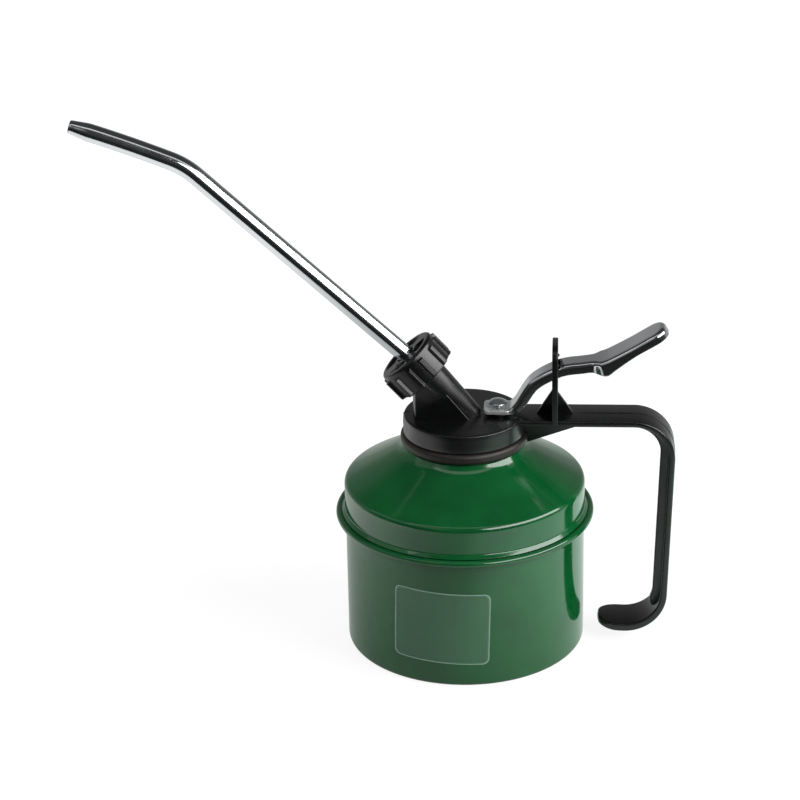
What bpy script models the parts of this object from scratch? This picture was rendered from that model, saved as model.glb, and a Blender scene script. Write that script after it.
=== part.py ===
# Pump oil can: a drawn steel can, a black moulded head with its handle, a curved spout
# and a thumb lever that lifts a spring-loaded piston pump.
# Metres, +Z up. The origin is on the base plane, on the can's axis. The spout points
# to -X, the handle is at +X, and the moulding's mid-plane is y = 0.

import math

import bmesh
import bpy
from mathutils import Matrix, Vector

# Clearances and the fineness of curves

GAP = 0.0003
OVERRUN = 0.004
MERGE = 0.00001
ARC_STEP = math.radians(15)
FILLET_STEP = math.radians(30)
EDGE_ANGLE = math.radians(60)
CAN_SEGMENTS = 48
NUT_SEGMENTS = 48
BOSS_SEGMENTS = 28
SMALL_SEGMENTS = 20
PISTON_NUT_SEGMENTS = 12
BALL_SEGMENTS = 16
BALL_RINGS = 10

# The can: a cup with a curled lip, and a dome whose skirt steps in to sit in the cup

CAN_RADIUS = 0.0425
SHEET = 0.0006
BASE_FILLET = 0.0015
CUP_HEIGHT = 0.0503
CURL_RADIUS = 0.00125
CURL_REACH = 0.0034
CURL_START = math.radians(120)
CURL_END = math.radians(-125)
CURL_NECK = 0.0022

SKIRT_PROUD = 0.0002
JOGGLE_DEPTH = 0.0063
SKIRT_LIFT = 0.0017
SKIRT_HEIGHT = 0.0093
SHOULDER_RADIUS = 0.0024
DOME_RISE = 0.0125
SEAT_RISE = 0.0015
SEAT_REACH = 0.0020
SEAT_FILLET = 0.0022
NECK_RADIUS = 0.0192
NECK_HEIGHT = 0.0067

FILM_WIDTH = 0.0346
FILM_HEIGHT = 0.0258
FILM_MIDDLE = 0.0228
FILM_CORNER = 0.0022
FILM_THICKNESS = 0.0002
FILM_TURN = math.radians(-9.5)
FILM_TILT = math.radians(-1.7)

# The seal ring, and the screw-on cap that the head is built round

SEAL_REACH = 0.0032
SEAL_HEIGHT = 0.0039
SEAL_ROUNDING = 0.0012
CAP_HEIGHT = 0.0110
CAP_PLATE = 0.0025
CAP_RADIUS = 0.0214
CAP_TAPER = 0.0003
CAP_EDGE = 0.0006
CAP_PLAY = 0.0004

# The pump socket under the cap, and its bores

ROD_X = 0.0120
ROD_RADIUS = 0.0015
ROD_PLAY = 0.0004
SOCKET_RADIUS = 0.0061
SOCKET_WALL = 0.0010
SOCKET_DEPTH = 0.0203
CEILING_DEPTH = 0.0093
GLAND_DEPTH = 0.0066

# The slanted spout boss: places along its axis are measured from the cap's top face

BOSS_ELEVATION = math.radians(47.4)
BOSS_ROOT = -0.0033
BOSS_ROOT_RADIUS = 0.0054
BOSS_SHOULDER = 0.0190
BOSS_SHOULDER_RADIUS = 0.0069
THREAD_RADIUS = 0.0080
THREAD_END = 0.0252
PASSAGE_RADIUS = 0.0012
PASSAGE_FOOT = -0.0145
CHANNEL_RADIUS = 0.0028
CHANNEL_FOOT = -0.0105
CHAMBER_FLOOR = 0.0090
CHAMBER_RADIUS = 0.0026
COUNTERBORE_FLOOR = 0.0185
COUNTERBORE_RADIUS = 0.0046

BLOCK_HALF_WIDTH = 0.0060
BLOCK_LEFT = 0.0177
BLOCK_RIGHT = 0.0022
BLOCK_CREST_X = 0.0053
BLOCK_HEIGHT = 0.0088
BLOCK_SINK = 0.0015

# The union nut, and the ferrule and washer that it clamps

NUT_RADIUS = 0.0112
NUT_REAR = 0.0194
NUT_LENGTH = 0.0105
NUT_WALL = 0.0020
NUT_HOLE = 0.0036
NUT_EDGE = 0.0011
RIB_COUNT = 12
RIB_WIDTH = 0.0020
RIB_HEIGHT = 0.0011
RIB_SETBACK = 0.0020
RIB_EDGE = 0.0005
POCKET_COUNT = 4
POCKET_INNER = 0.0052
POCKET_OUTER = 0.0087
POCKET_DEPTH = 0.0009
POCKET_SWEEP = math.radians(50)
POCKET_START = math.radians(68)

FERRULE_RADIUS = 0.0043
FERRULE_FLANGE = 0.0074
FLANGE_THICKNESS = 0.0009
FERRULE_LIP = 0.0008
FERRULE_LIP_HOLE = 0.0012
DELIVERY_BALL = 0.0021

# The spout tube

SPOUT_RADIUS = 0.00315
SPOUT_BORE = 0.0023
SPOUT_TIP_RADIUS = 0.0023
SPOUT_TIP_BORE = 0.0014
SPOUT_TIP_TAPER = 0.0070
SPOUT_ROOT_END = 0.0290
SPOUT_ROOT_BEND = 0.0200
SPOUT_RISE = math.radians(43.0)
SPOUT_STRAIGHT = 0.0955
SPOUT_BEND = 0.0270
SPOUT_BEND_END = math.radians(22.0)
SPOUT_TIP_LENGTH = 0.0365
SPOUT_TIP_ELEVATION = math.radians(17.5)
SPOUT_ROUNDNESS = 6

# The handle: a flat strap with a stiffening web inside it, ending in a hook

STRAP_HALF_WIDTH = 0.0079
STRAP_THICKNESS = 0.0022
STRAP_PROUD = 0.0001
STRAP_ROOT = 0.0172
STRAP_EDGE = 0.0007
HANDLE_REACH = 0.0742
HANDLE_BEND = 0.0145
LEG_LEAN = math.radians(2.05)
HOOK_BEND = 0.0150
HOOK_FLOOR = 0.0038
TONGUE_TIP = 0.0476
TONGUE_THICKNESS = 0.0029
TONGUE_CORNER = 0.0074
WEB_HALF_THICKNESS = 0.0015
WEB_DEPTH = 0.0050
GUSSET_DEPTH = 0.0108
WEB_RISE_X = 0.0391
WEB_HOOK_END = math.radians(42)
WEB_TAPER = math.radians(18)

# The windowed post that the lever passes through, with a rib before and behind it

POST_X = 0.03205
POST_THICKNESS = 0.0020
POST_HALF_WIDTH = 0.0081
POST_HEIGHT = 0.0270
POST_CORNER = 0.0051
POST_SINK = 0.0013
WINDOW_HALF_WIDTH = 0.0053
SILL_HEIGHT = 0.01406
WINDOW_HEIGHT = 0.00694
SILL_RADIUS = 0.00095
RIB_HALF_THICKNESS = 0.00075
RIB_SINK = 0.0011
FRONT_RIB_HEIGHT = 0.0089
FRONT_RIB_REACH = 0.0054
REAR_RIB_HEIGHT = 0.0081
REAR_RIB_REACH = 0.0054

# The thumb lever: a sheet channel with a flat foot and a wider thumb pad.
# Each station has its share of the span, of the rise and of the channel's depth.

LEVER_SHEET = 0.0012
FOOT_REACH = 0.0049
LEVER_SPAN = 0.0623
LEVER_RISE = 0.0314
LEVER_DEPTH = 0.0037
LEVER_CORNER = 0.0015
LEVER_HOLE = 0.0022
FOOT_HALF_WIDTH = 0.0050
FOOT_CORNER = 0.0014
ARM_HALF_WIDTH = 0.0045
PAD_HALF_WIDTH = 0.0063
PAD_CORNER = 0.0048
FOOT_END_SHARES = (0.127, 0.0)
ARM_SHARES = (
    (0.159, 0.032, 0.62),
    (0.182, 0.099, 0.90),
    (0.204, 0.179, 1.00),
    (0.231, 0.267, 1.00),
    (0.262, 0.344, 1.00),
    (0.310, 0.417, 1.00),
    (0.370, 0.484, 1.00),
    (0.427, 0.531, 1.00),
    (0.483, 0.557, 1.00),
    (0.540, 0.570, 1.00),
    (0.594, 0.586, 1.00),
    (0.641, 0.603, 1.00),
)
PAD_SHARES = (
    (0.669, 0.617, 0.97),
    (0.708, 0.652, 0.92),
    (0.815, 0.774, 0.92),
)
CORNER_SHARES = (0.0, 0.12, 0.45, 1.0)

# The rod, its rivet, and the guide and packing in the cap

GLAND_SHANK = 0.0032
GLAND_FLANGE = 0.0042
GLAND_FLANGE_THICKNESS = 0.0008
GLAND_LENGTH = 0.0043
RIVET_RADIUS = 0.0033
RIVET_LIFT = 0.0006
RIVET_CONE_RISE = 0.0006
RIVET_RIM = 0.0003
RIVET_HEIGHT = 0.0021
RIVET_HEAD_WALL = 0.0008
STUD_RADIUS = 0.0011
STUD_LENGTH = 0.0030

# The pump below the cap

BARREL_DROP = 0.0020
BARREL_LENGTH = 0.0290
BARREL_WALL = 0.0009
PISTON_LIFT = 0.0040
PISTON_HEIGHT = 0.0060
PISTON_SEAL_HEIGHT = 0.0020
PISTON_NUT_HEIGHT = 0.0022
PISTON_NUT_RADIUS = 0.0024
SPRING_RADIUS = 0.0027
SPRING_WIRE = 0.0003
SPRING_TURNS = 8
TURN_POINTS = 10

VALVE_LENGTH = 0.0120
VALVE_DEPTH = 0.0050
VALVE_SPIGOT = 0.0009
VALVE_CHAMBER = 0.0021
VALVE_INLET = 0.0011
VALVE_CHAMFER = 0.0008
SUCTION_SOCKET = 0.0055
SUCTION_BALL = 0.0016
STOP_SINK = 0.0007
STOP_THICKNESS = 0.0008
STOP_HOLE = 0.0009
SUCTION_RADIUS = 0.0022
SUCTION_BORE = 0.0015
SUCTION_FOOT = 0.0070
STRAINER_RADIUS = 0.0040
STRAINER_FOOT = 0.0035
STRAINER_TOP = 0.0100
STRAINER_WALL = 0.0007
STRAINER_HOLE = 0.0010
SLOT_FOOT = 0.0050
SLOT_HEIGHT = 0.0024
SLOT_WIDTH = 0.0012

# Places that several pieces share

CUP_INNER = CAN_RADIUS - SHEET
SKIRT_RADIUS = CAN_RADIUS + SKIRT_PROUD
SEAT_RADIUS = NECK_RADIUS + SEAT_REACH
JOGGLE_RADIUS = CUP_INNER - GAP
SKIRT_FOOT = CUP_HEIGHT + SKIRT_LIFT
SHOULDER_TOP = SKIRT_FOOT + SKIRT_HEIGHT
DOME_TOP = SHOULDER_TOP + DOME_RISE
SEAT_TOP = DOME_TOP + SEAT_RISE
NECK_TOP = SEAT_TOP + NECK_HEIGHT
SEAL_NOTCH = NECK_RADIUS + SEAL_REACH + GAP
SEAL_FACE = SEAT_TOP + GAP
CAP_TOP = SEAT_TOP + CAP_HEIGHT
CAP_UNDERSIDE = CAP_TOP - CAP_PLATE
CAP_FOOT = SEAL_FACE + SEAL_HEIGHT + GAP
BLOCK_CREST = CAP_TOP + BLOCK_HEIGHT
STRAP_TOP = CAP_TOP + STRAP_PROUD
SOCKET_FOOT = CAP_TOP - SOCKET_DEPTH
BARREL_CEILING = CAP_TOP - CEILING_DEPTH
GLAND_SEAT = CAP_TOP - GLAND_DEPTH
GLAND_FOOT = CAP_TOP - GLAND_LENGTH
GLAND_TOP = CAP_TOP + GAP + GLAND_FLANGE_THICKNESS
ROD_HOLE = ROD_RADIUS + ROD_PLAY
GUIDE_BORE = ROD_RADIUS + GAP
STUD_BORE = STUD_RADIUS + GAP
FOOT_UNDERSIDE = GLAND_TOP + GAP
PIVOT_HEIGHT = FOOT_UNDERSIDE + LEVER_SHEET / 2
RIVET_UNDERSIDE = FOOT_UNDERSIDE + LEVER_SHEET + RIVET_LIFT
RIVET_TOP = RIVET_UNDERSIDE + RIVET_HEIGHT
RIVET_BORE_TOP = RIVET_TOP - RIVET_HEAD_WALL
ROD_SHOULDER = RIVET_UNDERSIDE - GAP
BARREL_BORE = SOCKET_RADIUS - SOCKET_WALL
BARREL_RADIUS = BARREL_BORE - GAP
BARREL_INNER = BARREL_RADIUS - BARREL_WALL
BARREL_TOP = BARREL_CEILING - BARREL_DROP
BARREL_FOOT = BARREL_TOP - BARREL_LENGTH
PISTON_RADIUS = BARREL_INNER - GAP
PISTON_FOOT = BARREL_FOOT + PISTON_LIFT
PISTON_TOP = PISTON_FOOT + PISTON_HEIGHT
PISTON_SEAL_FOOT = PISTON_TOP + GAP
PISTON_SEAL_TOP = PISTON_SEAL_FOOT + PISTON_SEAL_HEIGHT
VALVE_FOOT = BARREL_FOOT - VALVE_LENGTH
VALVE_FLOOR = BARREL_FOOT - VALVE_DEPTH
STOP_FOOT = BARREL_FOOT - STOP_SINK
SUCTION_TOP = VALVE_FOOT + SUCTION_SOCKET
NUT_BORE = THREAD_RADIUS + CAP_PLAY
NUT_FRONT = NUT_REAR + NUT_LENGTH
FERRULE_FOOT = COUNTERBORE_FLOOR + GAP
FLANGE_FRONT = NUT_FRONT - NUT_WALL - GAP
FLANGE_REAR = FLANGE_FRONT - FLANGE_THICKNESS
TUBE_FOOT = FERRULE_FOOT + FERRULE_LIP + GAP
FERRULE_BORE = SPOUT_RADIUS + GAP

# Materials: name, colour, roughness, metallic

GREEN_ENAMEL = ("green_enamel", "0E4A26", 0.18, 0.0)
BLACK_NYLON = ("black_nylon", "1B1C1D", 0.38, 0.0)
BLACK_RUBBER = ("black_rubber", "171515", 0.6, 0.0)
CLEAR_FILM = ("clear_film", "6F8F7A", 0.3, 0.0)
CHROME_PLATE = ("chrome_plate", "C8CACC", 0.12, 1.0)
ZINC_PLATE = ("zinc_plate", "B4B6B6", 0.3, 1.0)
TURNED_BRASS = ("turned_brass", "B08D4C", 0.35, 1.0)
BEARING_STEEL = ("bearing_steel", "A9ABAD", 0.2, 1.0)
SPRING_STEEL = ("spring_steel", "8C8E90", 0.35, 1.0)
WHITE_ACETAL = ("white_acetal", "E4E2DA", 0.45, 0.0)

# Turns that lay a flat outline in the x-z plane and in the y-z plane

SIDE_ON = (math.radians(90), 0.0, 0.0)
END_ON = (math.radians(90), 0.0, math.radians(90))


# Scene, collections and materials

for old in list(bpy.data.objects):
    bpy.data.objects.remove(old, do_unlink=True)

parts = bpy.data.collections.new("pump_oil_can")
tools = bpy.data.collections.new("cutters_and_operands")
bpy.context.scene.collection.children.link(parts)
bpy.context.scene.collection.children.link(tools)


def linear(channel):
    if channel <= 0.04045:
        return channel / 12.92
    return ((channel + 0.055) / 1.055) ** 2.4


def material(finish):
    name, colour, roughness, metallic = finish
    found = bpy.data.materials.get(name)
    if found:
        return found
    made = bpy.data.materials.new(name)
    made.use_nodes = True
    channels = [linear(int(colour[at:at + 2], 16) / 255) for at in (0, 2, 4)]
    shader = made.node_tree.nodes["Principled BSDF"]
    shader.inputs["Base Color"].default_value = (*channels, 1.0)
    shader.inputs["Roughness"].default_value = roughness
    shader.inputs["Metallic"].default_value = metallic
    return made


# Objects: a finish makes a part, and no finish makes a cutter or an operand

def place(name, data, finish, parent=None, location=(0.0, 0.0, 0.0), rotation=(0.0, 0.0, 0.0)):
    made = bpy.data.objects.new(name, data)
    made.location = location
    made.rotation_euler = rotation
    made.parent = parent
    if finish:
        data.materials.append(material(finish))
        parts.objects.link(made)
    else:
        made.hide_render = True
        made.display_type = "WIRE"
        tools.objects.link(made)
    return made


def axis_frame(name, location, rotation=(0.0, 0.0, 0.0)):
    frame = bpy.data.objects.new(name, None)
    frame.location = location
    frame.rotation_euler = rotation
    parts.objects.link(frame)
    return frame


def combine(target, other, operation):
    step = target.modifiers.new(other.name, "BOOLEAN")
    step.operation = operation
    step.solver = "EXACT"
    step.object = other


def rounded_edges(target, width, segments):
    bevel = target.modifiers.new("rounded edges", "BEVEL")
    bevel.limit_method = "ANGLE"
    bevel.angle_limit = EDGE_ANGLE
    bevel.width = width
    bevel.segments = segments


# Outlines in two dimensions

def arc(centre, radius, start, end, fineness=ARC_STEP):
    steps = max(2, round(abs(end - start) / fineness))
    angles = [start + (end - start) * step / steps for step in range(steps + 1)]
    return [Vector(centre) + radius * Vector((math.cos(a), math.sin(a))) for a in angles]


def rounded(corners, fineness=FILLET_STEP):
    # A corner is (x, z) or (x, z, radius); one with a radius becomes an arc
    points = []
    for index, corner in enumerate(corners):
        here = Vector(corner[:2])
        if len(corner) == 2:
            points.append(here)
            continue
        before = (Vector(corners[index - 1][:2]) - here).normalized()
        after = (Vector(corners[(index + 1) % len(corners)][:2]) - here).normalized()
        half = before.angle(after) / 2
        middle = here + (before + after).normalized() * corner[2] / math.sin(half)
        start = here + before * corner[2] / math.tan(half) - middle
        turn = math.copysign(math.pi - 2 * half, -before.cross(after))
        steps = max(2, round(abs(turn) / fineness))
        for step in range(steps + 1):
            points.append(middle + Matrix.Rotation(turn * step / steps, 2) @ start)
    return points


# Solids

def mesh_object(name, bm, finish, **where):
    mesh = bpy.data.meshes.new(name)
    bm.to_mesh(mesh)
    bm.free()
    mesh.shade_smooth()
    mesh.set_sharp_from_angle(angle=ARC_STEP * 2)
    return place(name, mesh, finish, **where)


def turned(name, outline, finish, segments=SMALL_SEGMENTS, ring=False, **where):
    # The outline runs down the outer side; a ring's outline closes on itself
    mesh = bpy.data.meshes.new(name)
    edges = [(at, at + 1) for at in range(len(outline) - 1)]
    if ring:
        edges.append((len(outline) - 1, 0))
    mesh.from_pydata([(point[0], 0.0, point[1]) for point in outline], edges, [])
    made = place(name, mesh, finish, **where)
    screw = made.modifiers.new("turn", "SCREW")
    screw.axis = "Z"
    screw.angle = math.tau
    screw.steps = segments
    screw.render_steps = segments
    screw.use_merge_vertices = True
    screw.merge_threshold = MERGE
    return made


def cylinder(name, radius, foot, top, finish, segments=SMALL_SEGMENTS, **where):
    bm = bmesh.new()
    centre = Matrix.Translation((0.0, 0.0, (foot + top) / 2))
    bmesh.ops.create_cone(bm, cap_ends=True, segments=segments, radius1=radius,
                          radius2=radius, depth=top - foot, matrix=centre)
    return mesh_object(name, bm, finish, **where)


def ball(name, radius, height, finish, **where):
    bm = bmesh.new()
    centre = Matrix.Translation((0.0, 0.0, height))
    bmesh.ops.create_uvsphere(bm, u_segments=BALL_SEGMENTS, v_segments=BALL_RINGS, radius=radius,
                              matrix=centre)
    return mesh_object(name, bm, finish, **where)


def add_box(bm, low, high):
    low = Vector(low)
    high = Vector(high)
    size = Matrix.Diagonal((*(high - low), 1.0))
    bmesh.ops.create_cube(bm, size=1.0, matrix=Matrix.Translation((low + high) / 2) @ size)


def curve_mesh(curve):
    # The evaluated curve as one closed mesh, with its caps welded on
    holder = bpy.data.objects.new(curve.name, curve)
    tools.objects.link(holder)
    bpy.context.view_layer.update()
    graph = bpy.context.evaluated_depsgraph_get()
    mesh = bpy.data.meshes.new_from_object(holder.evaluated_get(graph))
    bpy.data.objects.remove(holder)
    bpy.data.curves.remove(curve)
    bm = bmesh.new()
    bm.from_mesh(mesh)
    bpy.data.meshes.remove(mesh)
    bmesh.ops.remove_doubles(bm, verts=bm.verts, dist=MERGE)
    bmesh.ops.recalc_face_normals(bm, faces=bm.faces)
    return bm


def plate(name, outlines, half_thickness):
    # A flat outline, with any holes, as a solid about its own plane
    curve = bpy.data.curves.new(name, "CURVE")
    curve.dimensions = "2D"
    curve.fill_mode = "BOTH"
    curve.extrude = half_thickness
    for outline in outlines:
        spline = curve.splines.new("POLY")
        spline.points.add(len(outline) - 1)
        for point, target in zip(outline, spline.points):
            target.co = (point[0], point[1], 0.0, 1.0)
        spline.use_cyclic_u = True
    bm = curve_mesh(curve)
    bmesh.ops.dissolve_limit(bm, angle_limit=math.radians(1), verts=bm.verts, edges=bm.edges)
    return bm


def round_over(bm, near, along, width, segments):
    # Rounds the edges that run along one axis where near() holds for both ends
    def chosen(edge):
        start, end = (vertex.co for vertex in edge.verts)
        step = end - start
        return near(start) and near(end) and abs(step[along]) > step.length - MERGE

    edges = [edge for edge in bm.edges if chosen(edge)]
    bmesh.ops.bevel(bm, geom=edges, offset=width, segments=segments, affect="EDGES", profile=0.5)


def tube(name, points, radii, roundness):
    curve = bpy.data.curves.new(name, "CURVE")
    curve.dimensions = "3D"
    curve.bevel_depth = 1.0
    curve.bevel_resolution = roundness
    curve.use_fill_caps = True
    spline = curve.splines.new("POLY")
    spline.points.add(len(points) - 1)
    for point, radius, target in zip(points, radii, spline.points):
        target.co = (*point, 1.0)
        target.radius = radius
    return curve_mesh(curve)


def loft(sections):
    # A skin from each section to the next, with the first and the last closed
    bm = bmesh.new()
    rings = [[bm.verts.new(point) for point in section] for section in sections]
    for ring, following in zip(rings, rings[1:]):
        for at in range(len(ring)):
            after = (at + 1) % len(ring)
            bm.faces.new((ring[at], ring[after], following[after], following[at]))
    bm.faces.new(rings[0])
    bm.faces.new(rings[-1])
    bmesh.ops.recalc_face_normals(bm, faces=bm.faces)
    return bm


# Frames: the boss axis leans over towards the spout, and the pump stands behind it

boss_axis = axis_frame("boss_axis", (0.0, 0.0, CAP_TOP),
                       (0.0, BOSS_ELEVATION - math.radians(90), 0.0))
rod_axis = axis_frame("rod_axis", (ROD_X, 0.0, 0.0))
lever_axis = axis_frame("lever_axis", (ROD_X, 0.0, PIVOT_HEIGHT))
film_facing = axis_frame("film_facing", (0.0, 0.0, 0.0), (0.0, 0.0, FILM_TURN))


# The can

def make_lower_body():
    curl_centre = (CAN_RADIUS + CURL_REACH - CURL_RADIUS, CUP_HEIGHT - CURL_RADIUS)
    curl_foot = curl_centre[1] - CURL_NECK
    inside = rounded([(0.0, SHEET), (CUP_INNER, SHEET, BASE_FILLET - SHEET), (CUP_INNER, curl_foot)])
    curl = arc(curl_centre, CURL_RADIUS, CURL_START, CURL_END, FILLET_STEP)
    outside = rounded([(CAN_RADIUS, curl_foot), (CAN_RADIUS, 0.0, BASE_FILLET), (0.0, 0.0)])
    turned("lower_body", inside + curl + outside, GREEN_ENAMEL, segments=CAN_SEGMENTS)


def make_upper_body():
    step = SKIRT_RADIUS - JOGGLE_RADIUS
    outline = rounded([
        (NECK_RADIUS, NECK_TOP),
        (NECK_RADIUS, SEAT_TOP),
        (SEAT_RADIUS, SEAT_TOP),
        (SEAT_RADIUS, DOME_TOP, SEAT_FILLET),
        (SKIRT_RADIUS, SHOULDER_TOP, SHOULDER_RADIUS),
        (SKIRT_RADIUS, SKIRT_FOOT),
        (JOGGLE_RADIUS, SKIRT_FOOT - step),
        (JOGGLE_RADIUS, CUP_HEIGHT - JOGGLE_DEPTH),
    ])
    dome = turned("upper_body", outline, GREEN_ENAMEL, segments=CAN_SEGMENTS)
    sheet = dome.modifiers.new("sheet", "SOLIDIFY")
    sheet.thickness = SHEET
    sheet.offset = -1.0
    sheet.use_even_offset = True


def make_label_film():
    inner = CAN_RADIUS + GAP
    outer = inner + FILM_THICKNESS
    half_height = FILM_HEIGHT / 2
    low = FILM_MIDDLE - FILM_HEIGHT
    high = FILM_MIDDLE + FILM_HEIGHT
    band = [(inner, high), (outer, high), (outer, low), (inner, low)]
    film = turned("label_film", band, CLEAR_FILM, segments=CAN_SEGMENTS, ring=True)
    half_width = inner * math.sin(FILM_WIDTH / 2 / inner)
    corners = [(side * half_width, height * half_height, FILM_CORNER)
               for side, height in ((-1, -1), (1, -1), (1, 1), (-1, 1))]
    bm = plate("film_outline", [rounded(corners)], CAN_RADIUS / 2)
    bmesh.ops.rotate(bm, verts=bm.verts, matrix=Matrix.Rotation(FILM_TILT, 3, "Z"))
    front = mesh_object("film_outline", bm, None, parent=film_facing,
                        location=(0.0, -CAN_RADIUS, FILM_MIDDLE), rotation=SIDE_ON)
    combine(film, front, "INTERSECT")


def make_neck_seal():
    inner = NECK_RADIUS + GAP
    outer = NECK_RADIUS + SEAL_REACH
    top = SEAL_FACE + SEAL_HEIGHT
    section = [(inner, top), (outer, top), (outer, SEAL_FACE), (inner, SEAL_FACE)]
    seal = turned("neck_seal", section, BLACK_RUBBER, segments=NUT_SEGMENTS, ring=True)
    rounded_edges(seal, SEAL_ROUNDING, 2)


# The head's cap, socket and boss

def make_cap():
    plate_radius = CAP_RADIUS - CAP_TAPER
    outline = rounded([
        (0.0, CAP_TOP),
        (plate_radius, CAP_TOP, CAP_EDGE),
        (CAP_RADIUS, CAP_FOOT),
        (NECK_RADIUS + CAP_PLAY, CAP_FOOT),
        (NECK_RADIUS + CAP_PLAY, CAP_UNDERSIDE),
        (0.0, CAP_UNDERSIDE),
    ])
    return turned("head", outline, BLACK_NYLON, segments=CAN_SEGMENTS)


def add_socket(head):
    middle = CAP_TOP - CAP_PLATE / 2
    socket = cylinder("pump_socket", SOCKET_RADIUS, SOCKET_FOOT, middle, None, parent=rod_axis)
    combine(head, socket, "UNION")


def add_boss(head):
    outline = [
        (0.0, THREAD_END),
        (THREAD_RADIUS, THREAD_END),
        (THREAD_RADIUS, BOSS_SHOULDER),
        (BOSS_SHOULDER_RADIUS, BOSS_SHOULDER),
        (BOSS_ROOT_RADIUS, BOSS_ROOT),
        (CHANNEL_RADIUS, BOSS_ROOT),
        (CHANNEL_RADIUS, CHANNEL_FOOT),
        (0.0, CHANNEL_FOOT),
    ]
    boss = turned("spout_boss", outline, None, segments=BOSS_SEGMENTS, parent=boss_axis)
    combine(head, boss, "UNION")


def along_boss(along, across):
    # A point in the x-z plane from its place along and across the boss axis
    lean = math.cos(BOSS_ELEVATION)
    rise = math.sin(BOSS_ELEVATION)
    return (-lean * along + rise * across, CAP_TOP + rise * along + lean * across)


def add_block(head):
    lean = math.cos(BOSS_ELEVATION)
    rise = math.sin(BOSS_ELEVATION)
    floor = CAP_TOP - BLOCK_SINK
    end = BOSS_SHOULDER - GAP
    left_top = CAP_TOP + (end - lean * BLOCK_LEFT) / rise
    crest_across = rise * -BLOCK_CREST_X + lean * (BLOCK_CREST - CAP_TOP)
    slope = (BLOCK_RIGHT + BLOCK_CREST_X) / (BLOCK_CREST - CAP_TOP)
    side = [
        (-BLOCK_LEFT, floor),
        (BLOCK_RIGHT + slope * BLOCK_SINK, floor),
        (-BLOCK_CREST_X, BLOCK_CREST),
        along_boss(end, crest_across),
        (-BLOCK_LEFT, left_top),
    ]
    block = mesh_object("boss_block", plate("boss_block", [side], BLOCK_HALF_WIDTH), None,
                        rotation=SIDE_ON)
    width = BLOCK_HALF_WIDTH - GAP
    plan = [
        (-BLOCK_LEFT, -width, width),
        (BLOCK_RIGHT + OVERRUN, -width),
        (BLOCK_RIGHT + OVERRUN, width),
        (-BLOCK_LEFT, width, width),
    ]
    height = BLOCK_CREST - floor
    rounding = mesh_object("block_plan", plate("block_plan", [rounded(plan, ARC_STEP)], height), None,
                           location=(0.0, 0.0, BLOCK_CREST))
    combine(block, rounding, "INTERSECT")
    combine(head, block, "UNION")


# The handle

def handle_line(hook_end):
    # The strap's outer line from cap to hook: each point with its outward direction
    bend = Vector((HANDLE_REACH - HANDLE_BEND, STRAP_TOP - HANDLE_BEND))
    outward = Vector((math.cos(LEG_LEAN), -math.sin(LEG_LEAN)))
    down = Vector((-math.sin(LEG_LEAN), -math.cos(LEG_LEAN)))
    drop = bend.y + (HANDLE_BEND - HOOK_BEND) * outward.y - HOOK_FLOOR - HOOK_BEND
    hook = bend + (HANDLE_BEND - HOOK_BEND) * outward + down * drop / math.cos(LEG_LEAN)
    line = []
    for centre, radius, start, end in (
        (bend, HANDLE_BEND, math.radians(90), -LEG_LEAN),
        (hook, HOOK_BEND, -LEG_LEAN, -hook_end),
    ):
        for point in arc(centre, radius, start, end):
            line.append((point, (point - centre).normalized()))
    return line, hook


def add_strap(head):
    line, hook = handle_line(math.radians(90))
    up = Vector((0.0, 1.0))
    root = Vector((STRAP_ROOT, STRAP_TOP))
    tip = Vector((TONGUE_TIP, HOOK_FLOOR))
    outer = [root] + [point for point, outward in line] + [tip]
    inner = [root - up * STRAP_THICKNESS]
    for point, outward in line:
        share = max(0.0, (hook.y - point.y) / HOOK_BEND)
        thickness = STRAP_THICKNESS + (TONGUE_THICKNESS - STRAP_THICKNESS) * share
        inner.append(point - outward * thickness)
    inner.append(tip + up * TONGUE_THICKNESS)
    bm = plate("strap", [outer + inner[::-1]], STRAP_HALF_WIDTH)
    round_over(bm, lambda co: abs(co.x - TONGUE_TIP) < MERGE, 1, TONGUE_CORNER, 6)
    strap = mesh_object("strap", bm, None, rotation=SIDE_ON)
    rounded_edges(strap, STRAP_EDGE, 2)
    combine(head, strap, "UNION")


def add_web(head):
    line = handle_line(WEB_HOOK_END)[0]
    inner_line = handle_line(WEB_HOOK_END - WEB_TAPER)[0]
    skin = STRAP_THICKNESS / 2
    under = CAP_FOOT + GAP
    root = CAP_RADIUS - CAP_EDGE
    outer = [(root, STRAP_TOP - skin)] + [point - outward * skin for point, outward in line]
    inner = [point - outward * WEB_DEPTH for point, outward in inner_line]
    foot = [
        (WEB_RISE_X, STRAP_TOP - WEB_DEPTH),
        (SEAL_NOTCH, CAP_TOP - GUSSET_DEPTH),
        (SEAL_NOTCH, under),
        (root, under),
    ]
    web = plate("web", [outer + inner[::-1] + foot], WEB_HALF_THICKNESS)
    combine(head, mesh_object("web", web, None, rotation=SIDE_ON), "UNION")


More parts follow.
